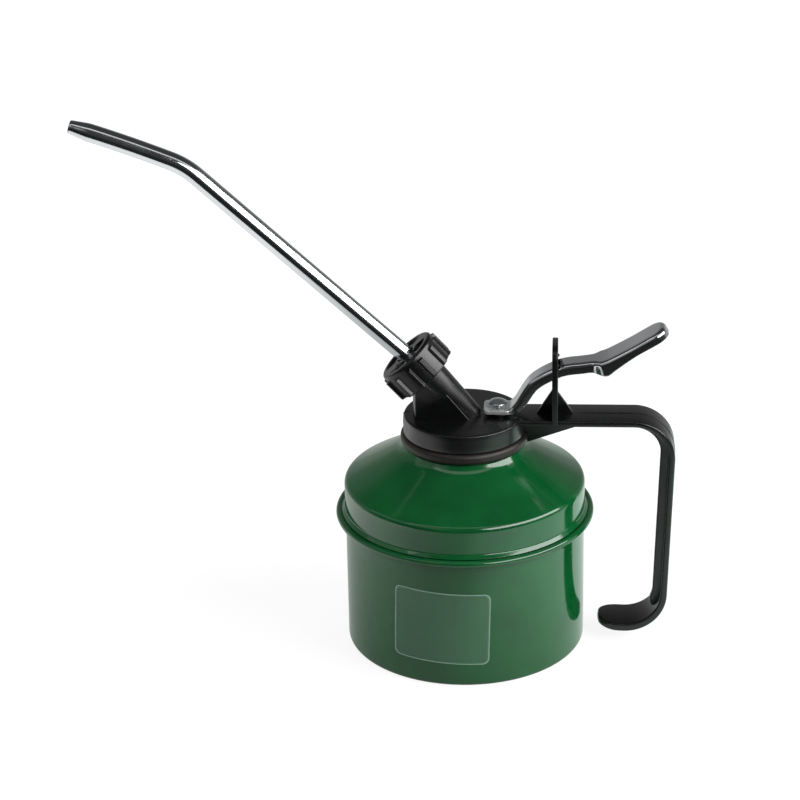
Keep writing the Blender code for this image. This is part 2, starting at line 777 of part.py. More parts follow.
def add_post(head):
    foot = CAP_TOP - POST_SINK
    top = CAP_TOP + POST_HEIGHT
    frame = rounded([
        (-POST_HALF_WIDTH, foot),
        (POST_HALF_WIDTH, foot),
        (POST_HALF_WIDTH, top, POST_CORNER),
        (-POST_HALF_WIDTH, top, POST_CORNER),
    ], ARC_STEP)
    sill_axis = CAP_TOP + SILL_HEIGHT - SILL_RADIUS
    window_top = CAP_TOP + SILL_HEIGHT + WINDOW_HEIGHT
    window = [
        (-WINDOW_HALF_WIDTH, sill_axis),
        (WINDOW_HALF_WIDTH, sill_axis),
        (WINDOW_HALF_WIDTH, window_top),
        (-WINDOW_HALF_WIDTH, window_top),
    ]
    bm = plate("post", [frame, window], POST_THICKNESS / 2)
    post = mesh_object("post", bm, None, location=(POST_X, 0.0, 0.0), rotation=END_ON)
    combine(head, post, "UNION")
    reach = (WINDOW_HALF_WIDTH + POST_HALF_WIDTH) / 2
    sill = cylinder("sill", SILL_RADIUS, -reach, reach, None,
                    location=(POST_X, 0.0, sill_axis), rotation=SIDE_ON)
    combine(head, sill, "UNION")
    front = POST_X - POST_THICKNESS / 2
    rear = POST_X + POST_THICKNESS / 2
    ribs = [
        (front - FRONT_RIB_REACH, STRAP_TOP - RIB_SINK),
        (rear + REAR_RIB_REACH, STRAP_TOP - RIB_SINK),
        (rear + REAR_RIB_REACH, STRAP_TOP),
        (rear, CAP_TOP + REAR_RIB_HEIGHT),
        (front, CAP_TOP + FRONT_RIB_HEIGHT),
        (front - FRONT_RIB_REACH, STRAP_TOP),
    ]
    bm = plate("post_ribs", [ribs], RIB_HALF_THICKNESS)
    combine(head, mesh_object("post_ribs", bm, None, rotation=SIDE_ON), "UNION")


def bore(head, name, radius, foot, top, frame):
    combine(head, cylinder(name, radius, foot, top, None, parent=frame), "DIFFERENCE")


def make_head():
    head = make_cap()
    add_socket(head)
    add_boss(head)
    add_block(head)
    add_strap(head)
    add_web(head)
    add_post(head)
    bore(head, "barrel_bore", BARREL_BORE, SOCKET_FOOT - OVERRUN, BARREL_CEILING, rod_axis)
    bore(head, "rod_hole", ROD_HOLE, SOCKET_FOOT, CAP_TOP, rod_axis)
    bore(head, "gland_bore", GLAND_SHANK + GAP, GLAND_SEAT, CAP_TOP + OVERRUN, rod_axis)
    bore(head, "passage", PASSAGE_RADIUS, PASSAGE_FOOT, COUNTERBORE_FLOOR, boss_axis)
    bore(head, "chamber", CHAMBER_RADIUS, CHAMBER_FLOOR, THREAD_END, boss_axis)
    bore(head, "counterbore", COUNTERBORE_RADIUS, COUNTERBORE_FLOOR, THREAD_END + OVERRUN,
         boss_axis)


# The nut, the ferrule, their washer and the outlet valve's ball

def make_union_nut():
    section = rounded([
        (NUT_HOLE, NUT_FRONT),
        (NUT_RADIUS, NUT_FRONT, NUT_EDGE),
        (NUT_RADIUS, NUT_REAR),
        (NUT_BORE, NUT_REAR),
        (NUT_BORE, NUT_FRONT - NUT_WALL),
        (NUT_HOLE, NUT_FRONT - NUT_WALL),
    ])
    nut = turned("union_nut", section, BLACK_NYLON, segments=NUT_SEGMENTS, ring=True,
                 parent=boss_axis)
    root = (NUT_RADIUS + NUT_BORE) / 2
    half_width = RIB_WIDTH / 2
    bm = bmesh.new()
    for index in range(RIB_COUNT):
        rib = bmesh.new()
        add_box(rib, (root, -half_width, NUT_REAR),
                (NUT_RADIUS + RIB_HEIGHT, half_width, NUT_FRONT - RIB_SETBACK))
        turn = Matrix.Rotation(math.tau * index / RIB_COUNT, 3, "Z")
        bmesh.ops.rotate(rib, verts=rib.verts, matrix=turn)
        single = bpy.data.meshes.new("rib")
        rib.to_mesh(single)
        rib.free()
        bm.from_mesh(single)
        bpy.data.meshes.remove(single)
    ribs = mesh_object("nut_ribs", bm, None, parent=boss_axis)
    rounded_edges(ribs, RIB_EDGE, 1)
    combine(nut, ribs, "UNION")
    for index in range(POCKET_COUNT):
        middle = POCKET_START + math.tau * index / POCKET_COUNT
        start = middle - POCKET_SWEEP / 2
        end = middle + POCKET_SWEEP / 2
        outline = arc((0.0, 0.0), POCKET_OUTER, start, end)
        outline += arc((0.0, 0.0), POCKET_INNER, end, start)
        name = "nut_pocket_" + str(index + 1)
        pocket = mesh_object(name, plate(name, [outline], POCKET_DEPTH), None, parent=boss_axis,
                             location=(0.0, 0.0, NUT_FRONT))
        combine(nut, pocket, "DIFFERENCE")


def make_spout_ferrule():
    section = [
        (FERRULE_BORE, FLANGE_FRONT),
        (FERRULE_FLANGE, FLANGE_FRONT),
        (FERRULE_FLANGE, FLANGE_REAR),
        (FERRULE_RADIUS, FLANGE_REAR),
        (FERRULE_RADIUS, FERRULE_FOOT),
        (FERRULE_LIP_HOLE, FERRULE_FOOT),
        (FERRULE_LIP_HOLE, FERRULE_FOOT + FERRULE_LIP),
        (FERRULE_BORE, FERRULE_FOOT + FERRULE_LIP),
    ]
    turned("spout_ferrule", section, ZINC_PLATE, ring=True, parent=boss_axis)


def make_spout_seal():
    inner = COUNTERBORE_RADIUS
    low = THREAD_END + GAP
    high = FLANGE_REAR - GAP
    section = [(inner, high), (FERRULE_FLANGE, high), (FERRULE_FLANGE, low), (inner, low)]
    turned("spout_seal", section, BLACK_RUBBER, ring=True, parent=boss_axis)


def seated_height(seat, hole, radius):
    # The centre of a ball that stands a gap clear of the rim of its hole
    return seat + math.sqrt((radius + GAP) ** 2 - hole ** 2)


def make_delivery_ball():
    height = seated_height(CHAMBER_FLOOR, PASSAGE_RADIUS, DELIVERY_BALL)
    ball("delivery_ball", DELIVERY_BALL, height, BEARING_STEEL, parent=boss_axis)


# The spout tube

def spout_route():
    # Points down the tube's middle, with each one's distance to the tip
    taper_share = SPOUT_TIP_TAPER / SPOUT_TIP_LENGTH
    fade = SPOUT_BEND_END + (SPOUT_TIP_ELEVATION - SPOUT_BEND_END) * (1 - taper_share)
    legs = [
        (SPOUT_ROOT_END - TUBE_FOOT, BOSS_ELEVATION, BOSS_ELEVATION, 1),
        (SPOUT_ROOT_BEND * (BOSS_ELEVATION - SPOUT_RISE), BOSS_ELEVATION, SPOUT_RISE, 2),
        (SPOUT_STRAIGHT, SPOUT_RISE, SPOUT_RISE, 1),
        (SPOUT_BEND * (SPOUT_RISE - SPOUT_BEND_END), SPOUT_RISE, SPOUT_BEND_END, 4),
        (SPOUT_TIP_LENGTH - SPOUT_TIP_TAPER, SPOUT_BEND_END, fade, 3),
        (SPOUT_TIP_TAPER, fade, SPOUT_TIP_ELEVATION, 2),
    ]
    points = [Vector((0.0, 0.0, TUBE_FOOT))]
    walked = [0.0]
    for length, start, end, steps in legs:
        for step in range(steps):
            heading = start + (end - start) * (2 * step + 1) / (2 * steps) - BOSS_ELEVATION
            stride = length / steps
            points.append(points[-1] + stride * Vector((math.sin(heading), 0.0, math.cos(heading))))
            walked.append(walked[-1] + stride)
    return points, [walked[-1] - distance for distance in walked]


def make_spout_tube():
    points, to_tip = spout_route()
    shares = [min(1.0, distance / SPOUT_TIP_TAPER) for distance in to_tip]
    outer = [SPOUT_TIP_RADIUS + (SPOUT_RADIUS - SPOUT_TIP_RADIUS) * share for share in shares]
    inner = [SPOUT_TIP_BORE + (SPOUT_BORE - SPOUT_TIP_BORE) * share for share in shares]
    bm = tube("spout_tube", points, outer, SPOUT_ROUNDNESS)
    spout = mesh_object("spout_tube", bm, CHROME_PLATE, parent=boss_axis)
    first = points[0] + (points[0] - points[1]).normalized() * OVERRUN
    last = points[-1] + (points[-1] - points[-2]).normalized() * OVERRUN
    bm = tube("spout_bore", [first] + points + [last], [inner[0]] + inner + [inner[-1]],
              SPOUT_ROUNDNESS - 2)
    combine(spout, mesh_object("spout_bore", bm, None, parent=boss_axis), "DIFFERENCE")


# The lever

def corner_width(half_width, corner, distance):
    # Half the width at a distance from a rounded end
    short = corner - min(corner, distance)
    return half_width - corner + math.sqrt(corner ** 2 - short ** 2)


def lever_point(x_share, rise_share):
    height = FOOT_UNDERSIDE + LEVER_SHEET
    start = ROD_X - FOOT_REACH
    return Vector((start + LEVER_SPAN * x_share, 0.0, height + LEVER_RISE * rise_share))


def lever_stations(inset):
    # Points on the lever's top with half width and depth; the inset is the sheet or zero
    stations = []
    foot = lever_point(0.0, 0.0)
    if inset == 0:
        for share in CORNER_SHARES:
            width = corner_width(FOOT_HALF_WIDTH, FOOT_CORNER, FOOT_CORNER * share)
            stations.append((foot + Vector((FOOT_CORNER * share, 0.0, 0.0)), width, LEVER_SHEET))
        stations.append((lever_point(*FOOT_END_SHARES), FOOT_HALF_WIDTH, LEVER_SHEET))
    for x_share, rise_share, depth_share in ARM_SHARES:
        stations.append((lever_point(x_share, rise_share), ARM_HALF_WIDTH - inset,
                         LEVER_DEPTH * depth_share))
    for x_share, rise_share, depth_share in PAD_SHARES:
        stations.append((lever_point(x_share, rise_share), PAD_HALF_WIDTH - inset,
                         LEVER_DEPTH * depth_share))
    end = lever_point(1.0, 1.0)
    back = (stations[-1][0] - end).normalized()
    depth = stations[-1][2]
    corner = PAD_CORNER - inset
    for share in CORNER_SHARES[::-1]:
        width = corner_width(PAD_HALF_WIDTH - inset, corner, corner * share)
        stations.append((end + back * (inset + corner * share), width, depth))
    return stations


def lever_sections(inset):
    # Upside-down U sections, square to the lever's top line
    stations = lever_stations(inset)
    pivot = Vector((ROD_X, 0.0, PIVOT_HEIGHT))
    side = Vector((0.0, 1.0, 0.0))
    sections = []
    for at, (point, width, depth) in enumerate(stations):
        before = stations[max(at - 1, 0)][0]
        after = stations[min(at + 1, len(stations) - 1)][0]
        down = (after - before).normalized().cross(side)
        if down.z > 0:
            down = -down
        corner = max(min(LEVER_CORNER, depth / 2) - inset, GAP)
        cut = corner * (1 - math.sqrt(0.5))
        bottom = depth
        if inset > 0:
            bottom = depth + OVERRUN
        half = [(width, bottom), (width, inset + corner), (width - cut, inset + cut),
                (width - corner, inset)]
        flip = [(-across, drop) for across, drop in half[::-1]]
        sections.append([point - pivot + side * across + down * drop
                         for across, drop in half + flip])
    return sections


def make_lever():
    lever = mesh_object("lever", loft(lever_sections(0)), CHROME_PLATE, parent=lever_axis)
    hollow = mesh_object("lever_hollow", loft(lever_sections(LEVER_SHEET)), None,
                         parent=lever_axis)
    combine(lever, hollow, "DIFFERENCE")
    hole = cylinder("lever_hole", LEVER_HOLE, -OVERRUN, OVERRUN, None, parent=lever_axis)
    combine(lever, hole, "DIFFERENCE")


# The rod and what rides on it

def make_pump_rod():
    foot = PISTON_FOOT - STUD_LENGTH
    outline = [
        (0.0, RIVET_BORE_TOP - GAP),
        (STUD_RADIUS, RIVET_BORE_TOP - GAP),
        (STUD_RADIUS, ROD_SHOULDER),
        (ROD_RADIUS, ROD_SHOULDER),
        (ROD_RADIUS, PISTON_SEAL_TOP + GAP),
        (STUD_RADIUS, PISTON_SEAL_TOP + GAP),
        (STUD_RADIUS, foot),
        (0.0, foot),
    ]
    turned("pump_rod", outline, BEARING_STEEL, parent=rod_axis)


def make_rod_rivet():
    rim_foot = RIVET_UNDERSIDE + RIVET_CONE_RISE
    rim_top = rim_foot + RIVET_RIM
    rise = RIVET_TOP - rim_top
    radius = (RIVET_RADIUS ** 2 + rise ** 2) / (2 * rise)
    dome = arc((0.0, RIVET_TOP - radius), radius, math.radians(90),
               math.acos(RIVET_RADIUS / radius))
    outline = dome + [
        (RIVET_RADIUS, rim_foot),
        (ROD_RADIUS, RIVET_UNDERSIDE),
        (STUD_BORE, RIVET_UNDERSIDE),
        (STUD_BORE, RIVET_BORE_TOP),
        (0.0, RIVET_BORE_TOP),
    ]
    turned("rod_rivet", outline, ZINC_PLATE, parent=rod_axis)


def make_rod_gland():
    flange_foot = CAP_TOP + GAP
    section = [
        (GUIDE_BORE, GLAND_TOP),
        (GLAND_FLANGE, GLAND_TOP),
        (GLAND_FLANGE, flange_foot),
        (GLAND_SHANK, flange_foot),
        (GLAND_SHANK, GLAND_FOOT),
        (GUIDE_BORE, GLAND_FOOT),
    ]
    turned("rod_gland", section, TURNED_BRASS, ring=True, parent=rod_axis)
    low = GLAND_SEAT + GAP
    high = GLAND_FOOT - GAP
    section = [(GUIDE_BORE, high), (GLAND_SHANK, high), (GLAND_SHANK, low), (GUIDE_BORE, low)]
    turned("gland_seal", section, BLACK_RUBBER, ring=True, parent=rod_axis)


def make_piston():
    section = [(STUD_BORE, PISTON_TOP), (PISTON_RADIUS, PISTON_TOP),
               (PISTON_RADIUS, PISTON_FOOT), (STUD_BORE, PISTON_FOOT)]
    turned("piston", section, TURNED_BRASS, ring=True, parent=rod_axis)
    section = [(STUD_BORE, PISTON_SEAL_TOP), (PISTON_RADIUS, PISTON_SEAL_TOP),
               (PISTON_RADIUS, PISTON_SEAL_FOOT), (STUD_BORE, PISTON_SEAL_FOOT)]
    turned("piston_seal", section, BLACK_RUBBER, ring=True, parent=rod_axis)
    top = PISTON_FOOT - GAP
    foot = top - PISTON_NUT_HEIGHT
    section = [(STUD_BORE, top), (PISTON_NUT_RADIUS, top), (PISTON_NUT_RADIUS, foot),
               (STUD_BORE, foot)]
    turned("piston_nut", section, ZINC_PLATE, ring=True, segments=PISTON_NUT_SEGMENTS,
           parent=rod_axis)


def make_return_spring():
    low = PISTON_SEAL_TOP + GAP + SPRING_WIRE
    high = BARREL_CEILING - GAP - SPRING_WIRE
    count = SPRING_TURNS * TURN_POINTS
    points = []
    for step in range(count + 1):
        angle = math.tau * step / TURN_POINTS
        height = low + (high - low) * step / count
        points.append((SPRING_RADIUS * math.cos(angle), SPRING_RADIUS * math.sin(angle), height))
    bm = tube("return_spring", points, [SPRING_WIRE] * len(points), 1)
    mesh_object("return_spring", bm, SPRING_STEEL, parent=rod_axis)


# The barrel and the inlet side

def make_pump_barrel():
    section = [(BARREL_INNER, BARREL_TOP), (BARREL_RADIUS, BARREL_TOP),
               (BARREL_RADIUS, BARREL_FOOT), (BARREL_INNER, BARREL_FOOT)]
    turned("pump_barrel", section, TURNED_BRASS, ring=True, segments=BOSS_SEGMENTS,
           parent=rod_axis)


def make_valve_body():
    flange = BARREL_FOOT - GAP
    spigot_top = flange + VALVE_SPIGOT
    socket = SUCTION_RADIUS + GAP
    section = [
        (VALVE_CHAMBER, spigot_top),
        (PISTON_RADIUS, spigot_top),
        (PISTON_RADIUS, flange),
        (BARREL_RADIUS, flange),
        (BARREL_RADIUS, VALVE_FOOT + VALVE_CHAMFER),
        (BARREL_RADIUS - VALVE_CHAMFER, VALVE_FOOT),
        (socket, VALVE_FOOT),
        (socket, SUCTION_TOP),
        (VALVE_INLET, SUCTION_TOP),
        (VALVE_INLET, VALVE_FLOOR),
        (VALVE_CHAMBER, VALVE_FLOOR),
    ]
    turned("valve_body", section, TURNED_BRASS, ring=True, segments=BOSS_SEGMENTS,
           parent=rod_axis)
    height = seated_height(VALVE_FLOOR, VALVE_INLET, SUCTION_BALL)
    ball("suction_ball", SUCTION_BALL, height, BEARING_STEEL, parent=rod_axis)
    radius = VALVE_CHAMBER - GAP
    top = STOP_FOOT + STOP_THICKNESS
    section = [(STOP_HOLE, top), (radius, top), (radius, STOP_FOOT), (STOP_HOLE, STOP_FOOT)]
    turned("ball_stop", section, ZINC_PLATE, ring=True, parent=rod_axis)


def make_suction_tube():
    top = SUCTION_TOP - GAP
    section = [(SUCTION_BORE, top), (SUCTION_RADIUS, top), (SUCTION_RADIUS, SUCTION_FOOT),
               (SUCTION_BORE, SUCTION_FOOT)]
    turned("suction_tube", section, WHITE_ACETAL, ring=True, parent=rod_axis)


def make_strainer():
    mouth = SUCTION_RADIUS + GAP
    inner = STRAINER_RADIUS - STRAINER_WALL
    section = [
        (mouth, STRAINER_TOP),
        (STRAINER_RADIUS, STRAINER_TOP),
        (STRAINER_RADIUS, STRAINER_FOOT),
        (STRAINER_HOLE, STRAINER_FOOT),
        (STRAINER_HOLE, STRAINER_FOOT + STRAINER_WALL),
        (inner, STRAINER_FOOT + STRAINER_WALL),
        (inner, STRAINER_TOP - STRAINER_WALL),
        (mouth, STRAINER_TOP - STRAINER_WALL),
    ]
    strainer = turned("strainer", section, TURNED_BRASS, ring=True, parent=rod_axis)
    reach = STRAINER_RADIUS + OVERRUN
    half = SLOT_WIDTH / 2
    for name, x, y in (("slot_x", reach, half), ("slot_y", half, reach)):
        bm = bmesh.new()
        add_box(bm, (-x, -y, SLOT_FOOT), (x, y, SLOT_FOOT + SLOT_HEIGHT))
        combine(strainer, mesh_object(name, bm, None, parent=rod_axis), "DIFFERENCE")


make_lower_body()
make_upper_body()
make_label_film()
make_neck_seal()
make_head()
make_union_nut()
make_spout_ferrule()
make_spout_seal()
make_delivery_ball()
make_spout_tube()
make_lever()
make_pump_rod()
make_rod_rivet()
make_rod_gland()
make_piston()
make_return_spring()
make_pump_barrel()
make_valve_body()
make_suction_tube()
make_strainer()
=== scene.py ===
# Pump oil can: a drawn steel can in green enamel with a black moulded head, a plated spout
# and a chromed thumb lever. Lengths are in millimetres, but the studio's floor and lamps in
# metres, and angles are in degrees.

import math

import bmesh
import bpy
import numpy as np
from mathutils import Matrix, Vector


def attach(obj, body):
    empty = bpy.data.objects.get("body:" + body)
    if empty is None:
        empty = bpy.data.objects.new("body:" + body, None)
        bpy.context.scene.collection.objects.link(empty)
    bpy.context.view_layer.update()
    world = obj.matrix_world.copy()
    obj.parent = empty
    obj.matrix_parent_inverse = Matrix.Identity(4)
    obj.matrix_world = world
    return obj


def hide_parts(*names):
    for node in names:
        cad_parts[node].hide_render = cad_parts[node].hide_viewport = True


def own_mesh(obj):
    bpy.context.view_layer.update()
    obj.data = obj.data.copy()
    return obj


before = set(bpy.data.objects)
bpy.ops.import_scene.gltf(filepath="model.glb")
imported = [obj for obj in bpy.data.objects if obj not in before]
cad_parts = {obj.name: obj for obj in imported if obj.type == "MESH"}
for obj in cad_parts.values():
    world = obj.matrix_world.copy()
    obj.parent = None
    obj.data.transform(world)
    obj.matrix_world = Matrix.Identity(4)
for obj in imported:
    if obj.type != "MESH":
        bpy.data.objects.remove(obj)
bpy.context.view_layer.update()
mm = 0.001


# Lines: each is an array of points, one row a point

def join(*parts):
    # The parts one after another
    return np.concatenate(parts)


def unit(rows):
    # Each row divided by its length
    return rows / np.linalg.norm(rows, axis=-1, keepdims=True)


def filletLine(corners, steps, closed=True):
    # A corner is x, z, radius; one with a radius becomes the arc tangent to both its sides
    rows = [(*corner, 0.0)[:3] for corner in corners]
    parts = []
    for at, (x, z, radius) in enumerate(rows):
        here = np.array([x, z], float)
        if radius == 0.0 or (not closed and at in (0, len(rows) - 1)):
            parts.append(here[None])
            continue
        back = unit(np.array(rows[at - 1][:2]) - here)
        ahead = unit(np.array(rows[(at + 1) % len(rows)][:2]) - here)
        half = math.acos(np.clip(back @ ahead, -1.0, 1.0)) / 2
        middle = here + unit(back + ahead) * radius / math.sin(half)
        start = here + back * radius / math.tan(half) - middle
        end = here + ahead * radius / math.tan(half) - middle
        first = math.atan2(start[1], start[0])
        sweep = (math.atan2(end[1], end[0]) - first + math.pi) % math.tau - math.pi
        angles = first + sweep * np.linspace(0.0, 1.0, steps)
        parts.append(middle + radius * np.column_stack([np.cos(angles), np.sin(angles)]))
    return join(*parts)


def spreadLine(line, spacing, closed=False):
    # Cuts each stretch into equal steps no longer than the spacing
    line = np.asarray(line, float)
    ends = join(line[1:], line[:1]) if closed else line[1:]
    parts = []
    for start, end in zip(line, ends):
        count = max(1, math.ceil(np.linalg.norm(end - start) / spacing))
        parts.append(start + (end - start) * (np.arange(count) / count)[:, None])
    if not closed:
        parts.append(line[-1:])
    return join(*parts)


def arcLine(centre, radius, start, end, steps):
    # centre + radius * (cos a, sin a) for evenly spaced angles
    angles = np.radians(np.linspace(start, end, steps))
    return np.array(centre) + radius * np.column_stack([np.cos(angles), np.sin(angles)])


def smoothLine(points, step):
    # A Catmull-Rom curve through the points, with about one point a step
    points = np.asarray(points, float)
    padded = join(2 * points[:1] - points[1:2], points, 2 * points[-1:] - points[-2:-1])
    parts = []
    for at in range(len(points) - 1):
        a, b, c, d = padded[at:at + 4]
        count = max(2, math.ceil(np.linalg.norm((c - b)[:2]) / step))
        t = (np.arange(count) / count)[:, None]
        parts.append(0.5 * (2 * b + (c - a) * t + (2 * a - 5 * b + 4 * c - d) * t ** 2
                            + (3 * b - a - 3 * c + d) * t ** 3))
    parts.append(points[-1:])
    return join(*parts)


def softStep(value, low, high):
    # 0 below low, 1 above high, and 3t^2 - 2t^3 between them
    t = np.clip((value - low) / (high - low), 0.0, 1.0)
    return t * t * (3 - 2 * t)


def quarterRound(steps):
    # For an edge of radius 1, at angles a from 0 to 90: 1 - sin a in from one face and 1 - cos a
    # in from the other
    angle = np.linspace(0.0, math.pi / 2, steps)
    return 1 - np.sin(angle), 1 - np.cos(angle)


# Surfaces: each is a grid of points f(u, v), rows along v and columns along u

def xyz(x, y, z):
    # The three coordinates as one grid of points
    return np.stack(np.broadcast_arrays(x, y, z), axis=-1)


def turnGrid(profile, columns):
    # Each (radius, height) turned about the axis: (r cos a, r sin a, h)
    radius, height = np.asarray(profile, float).T[..., None]
    angles = np.arange(columns) / columns * math.tau
    return xyz(radius * np.cos(angles), radius * np.sin(angles), height)


def leanOver(grid):
    # Lays the local z axis along the boss: x' = x sin e - z cos e, z' = x cos e + z sin e + lift
    e = math.radians(boss["elevation"])
    x, y, z = np.moveaxis(grid, -1, 0)
    return xyz(x * math.sin(e) - z * math.cos(e), y, x * math.cos(e) + z * math.sin(e) + head["top"])


def onPump(grid):
    # Moves a grid from the can's axis to the pump's: x' = x + the pump's x
    return grid + (head["pumpX"], 0.0, 0.0)


def closeEnds(grid):
    # Adds a row at each end that gathers to the middle of the end row
    first, last = (np.broadcast_to(grid[at].mean(axis=0), grid[at].shape)[None] for at in (0, -1))
    return join(first, grid, last)


def gridMesh(name, grid, loopAlong=False, marks=None):
    # One four-sided face a cell, with the last column joined to the first, and the last row too
    # where it loops. Marks are numbers, one a grid point, that the material reads
    rows, columns = grid.shape[:2]
    index = np.arange(rows * columns).reshape(rows, columns)
    index = np.column_stack([index, index[:, 0]])
    if loopAlong:
        index = join(index, index[:1])
    faces = np.stack([index[:-1, :-1], index[:-1, 1:], index[1:, 1:], index[1:, :-1]], axis=-1)
    mesh = bpy.data.meshes.new(name)
    mesh.from_pydata(grid.reshape(-1, 3) * mm, [], faces.reshape(-1, 4))
    for mark, values in (marks or {}).items():
        layer = mesh.attributes.new(mark, "FLOAT", "POINT")
        values = np.broadcast_to(values, (rows, columns)).ravel()
        layer.data.foreach_set("value", values.astype(np.float32))
    return weld(mesh)


def weld(mesh):
    # Closes poles and seams and turns the faces outwards
    bm = bmesh.new()
    bm.from_mesh(mesh)
    bmesh.ops.remove_doubles(bm, verts=bm.verts, dist=0.002 * mm)
    bmesh.ops.dissolve_degenerate(bm, edges=bm.edges, dist=0.001 * mm)
    bmesh.ops.recalc_face_normals(bm, faces=bm.faces)
    bm.to_mesh(mesh)
    bm.free()
    return mesh


def addObject(name, data):
    # An object that holds the data, put in the scene
    made = bpy.data.objects.new(name, data)
    bpy.context.scene.collection.objects.link(made)
    return made


def makePiece(name, grid, material, body, node=None, loopAlong=False, sharp=38, marks=None):
    # Hands the grid's piece to its body, with its material and the node it stands for
    mesh = gridMesh(name, grid, loopAlong, marks)
    mesh.shade_smooth()
    mesh.set_sharp_from_angle(angle=math.radians(sharp))
    mesh.materials.append(material)
    piece = addObject(name, mesh)
    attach(piece, body)
    if node:
        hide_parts(node)
    return piece


def turnPiece(name, profile, material, body, node, place=onPump, steps=4, spacing=1.5, columns=48):
    # A closed profile of (radius, height, fillet) corners turned about its axis and put in place
    line = spreadLine(filletLine(profile, steps), spacing, True)
    return makePiece(name, place(turnGrid(line, columns)), material, body, node, loopAlong=True)


def thicken(piece, sheet):
    # Gives a shell its sheet thickness, inwards
    wall = piece.modifiers.new("sheet", "SOLIDIFY")
    wall.thickness = sheet * mm
    wall.offset = -1.0


def drill(piece, name, radius, low, high, place):
    # Takes a round hole out of the piece; place moves the hole's upright grid to where it goes
    hole = turnGrid([(0.0, low), (radius, low), (radius, high), (0.0, high)], 32)
    cutter = addObject(name, gridMesh(name, place(hole)))
    step = piece.modifiers.new(name, "BOOLEAN")
    step.operation = "DIFFERENCE"
    step.solver = "EXACT"
    step.object = cutter
    bpy.context.view_layer.update()
    graph = bpy.context.evaluated_depsgraph_get()
    result = bpy.data.meshes.new_from_object(piece.evaluated_get(graph))
    piece.modifiers.clear()
    piece.data = result
    bpy.data.objects.remove(cutter)


# Materials

def hexColour(code):
    # sRGB to linear: c / 12.92 up to 0.04045, and ((c + 0.055) / 1.055) ** 2.4 above it
    channel = np.array([int(code[at:at + 2], 16) for at in (0, 2, 4)]) / 255
    flat = np.where(channel <= 0.04045, channel / 12.92, ((channel + 0.055) / 1.055) ** 2.4)
    return (*flat.tolist(), 1.0)


def wire(tree, node, inputs):
    # Sets each input, or links it where its value is an output, or a node for its first output
    for socket, value in inputs.items():
        if isinstance(value, bpy.types.Node):
            value = value.outputs[0]
        if isinstance(value, bpy.types.NodeSocket):
            tree.links.new(value, node.inputs[socket])
        else:
            node.inputs[socket].default_value = value


def addNode(tree, kind, inputs=None, **settings):
    # A node with its settings, its fixed inputs and its links
    node = tree.nodes.new("ShaderNode" + kind)
    for name, value in settings.items():
        setattr(node, name, value)
    wire(tree, node, inputs or {})
    return node


def fillRamp(ramp, stops):
    # Each stop is a place from 0 to 1 and a colour
    for at, (place, colour) in enumerate(stops):
        stop = ramp.color_ramp.elements[at] if at < 2 else ramp.color_ramp.elements.new(place)
        stop.position = place
        stop.color = colour


def relief(tree, shader, height, depth):
    # The surface seems to rise by the depth where the height goes from 0 to 1
    bump = addNode(tree, "Bump", {"Height": height, "Distance": depth * mm, "Strength": 1.0})
    wire(tree, shader, {"Normal": bump})


def startMaterial(name, look):
    # What is the same all over goes on the shader itself. Over patches the roughness wanders from
    # smooth to rough, over clouds, or else the patches, the colour goes from darker to lighter,
    # and the grain stands up by its depth. Patch, cloud and grain are a size and a noise detail
    made = bpy.data.materials.new(name)
    made.use_nodes = True
    tree = made.node_tree
    shader = tree.nodes["Principled BSDF"]
    where = addNode(tree, "TexCoord").outputs["Object"]
    wire(tree, shader, {"Base Color": hexColour(look["colour"]), "Roughness": look["roughness"],
                        "Metallic": look.get("metallic", 0.0)})
    if "ior" in look:
        wire(tree, shader, {"IOR": look["ior"]})
    noise = {}
    for part in ("patch", "cloud", "grain"):
        if part in look:
            size, detail = look[part]
            noise[part] = addNode(tree, "TexNoise", {"Vector": where, "Scale": 1 / (size * mm),
                                                     "Detail": detail})
    # Nearly all of a noise's values lie between 0.3 and 0.7
    if "patch" in look:
        satin = addNode(tree, "MapRange", {"Value": noise["patch"], "From Min": 0.3, "From Max": 0.7,
                                           "To Min": look["smooth"], "To Max": look["rough"]})
        wire(tree, shader, {"Roughness": satin})
    if "darker" in look:
        ramp = addNode(tree, "ValToRGB", {"Fac": noise.get("cloud", noise.get("patch"))})
        fillRamp(ramp, [(0.35, hexColour(look["darker"])), (0.65, hexColour(look["lighter"]))])
        wire(tree, shader, {"Base Color": ramp})
    if "grain" in look:
        relief(tree, shader, noise["grain"], look["depth"])
    return made


def openMaterial(made):
    # Its node tree, its shader and the Object coordinates
    tree = made.node_tree
    return tree, tree.nodes["Principled BSDF"], tree.nodes["Texture Coordinate"].outputs["Object"]


def stovedEnamel():
    # Stoved gloss enamel on drawn steel: wet, deep green with a faint orange peel about 1.5 mm
    # across, and a little thinner and lighter in slow patches
    return startMaterial("stovedGreenEnamel", {
        "slot": "green_enamel", "colour": "095428", "darker": "084E25", "lighter": "0A592B",
        "cloud": (18, 2.0), "roughness": 0.10, "smooth": 0.07, "rough": 0.13, "patch": (9, 3.0),
        "grain": (1.5, 1.0), "depth": 0.006, "ior": 1.6})


def mouldedNylon():
    # Glass-filled black nylon, injection moulded in a spark-eroded tool: satin, with a fine grain
    # of about 0.3 mm, drawn at 0.5 mm so that it shows
    return startMaterial("mouldedBlackNylon", {
        "slot": "black_nylon", "colour": "080909", "darker": "070808", "lighter": "0A0B0B",
        "cloud": (14, 3.0), "roughness": 0.28, "smooth": 0.24, "rough": 0.33, "patch": (6, 3.0),
        "grain": (0.5, 2.0), "depth": 0.012, "ior": 1.5})


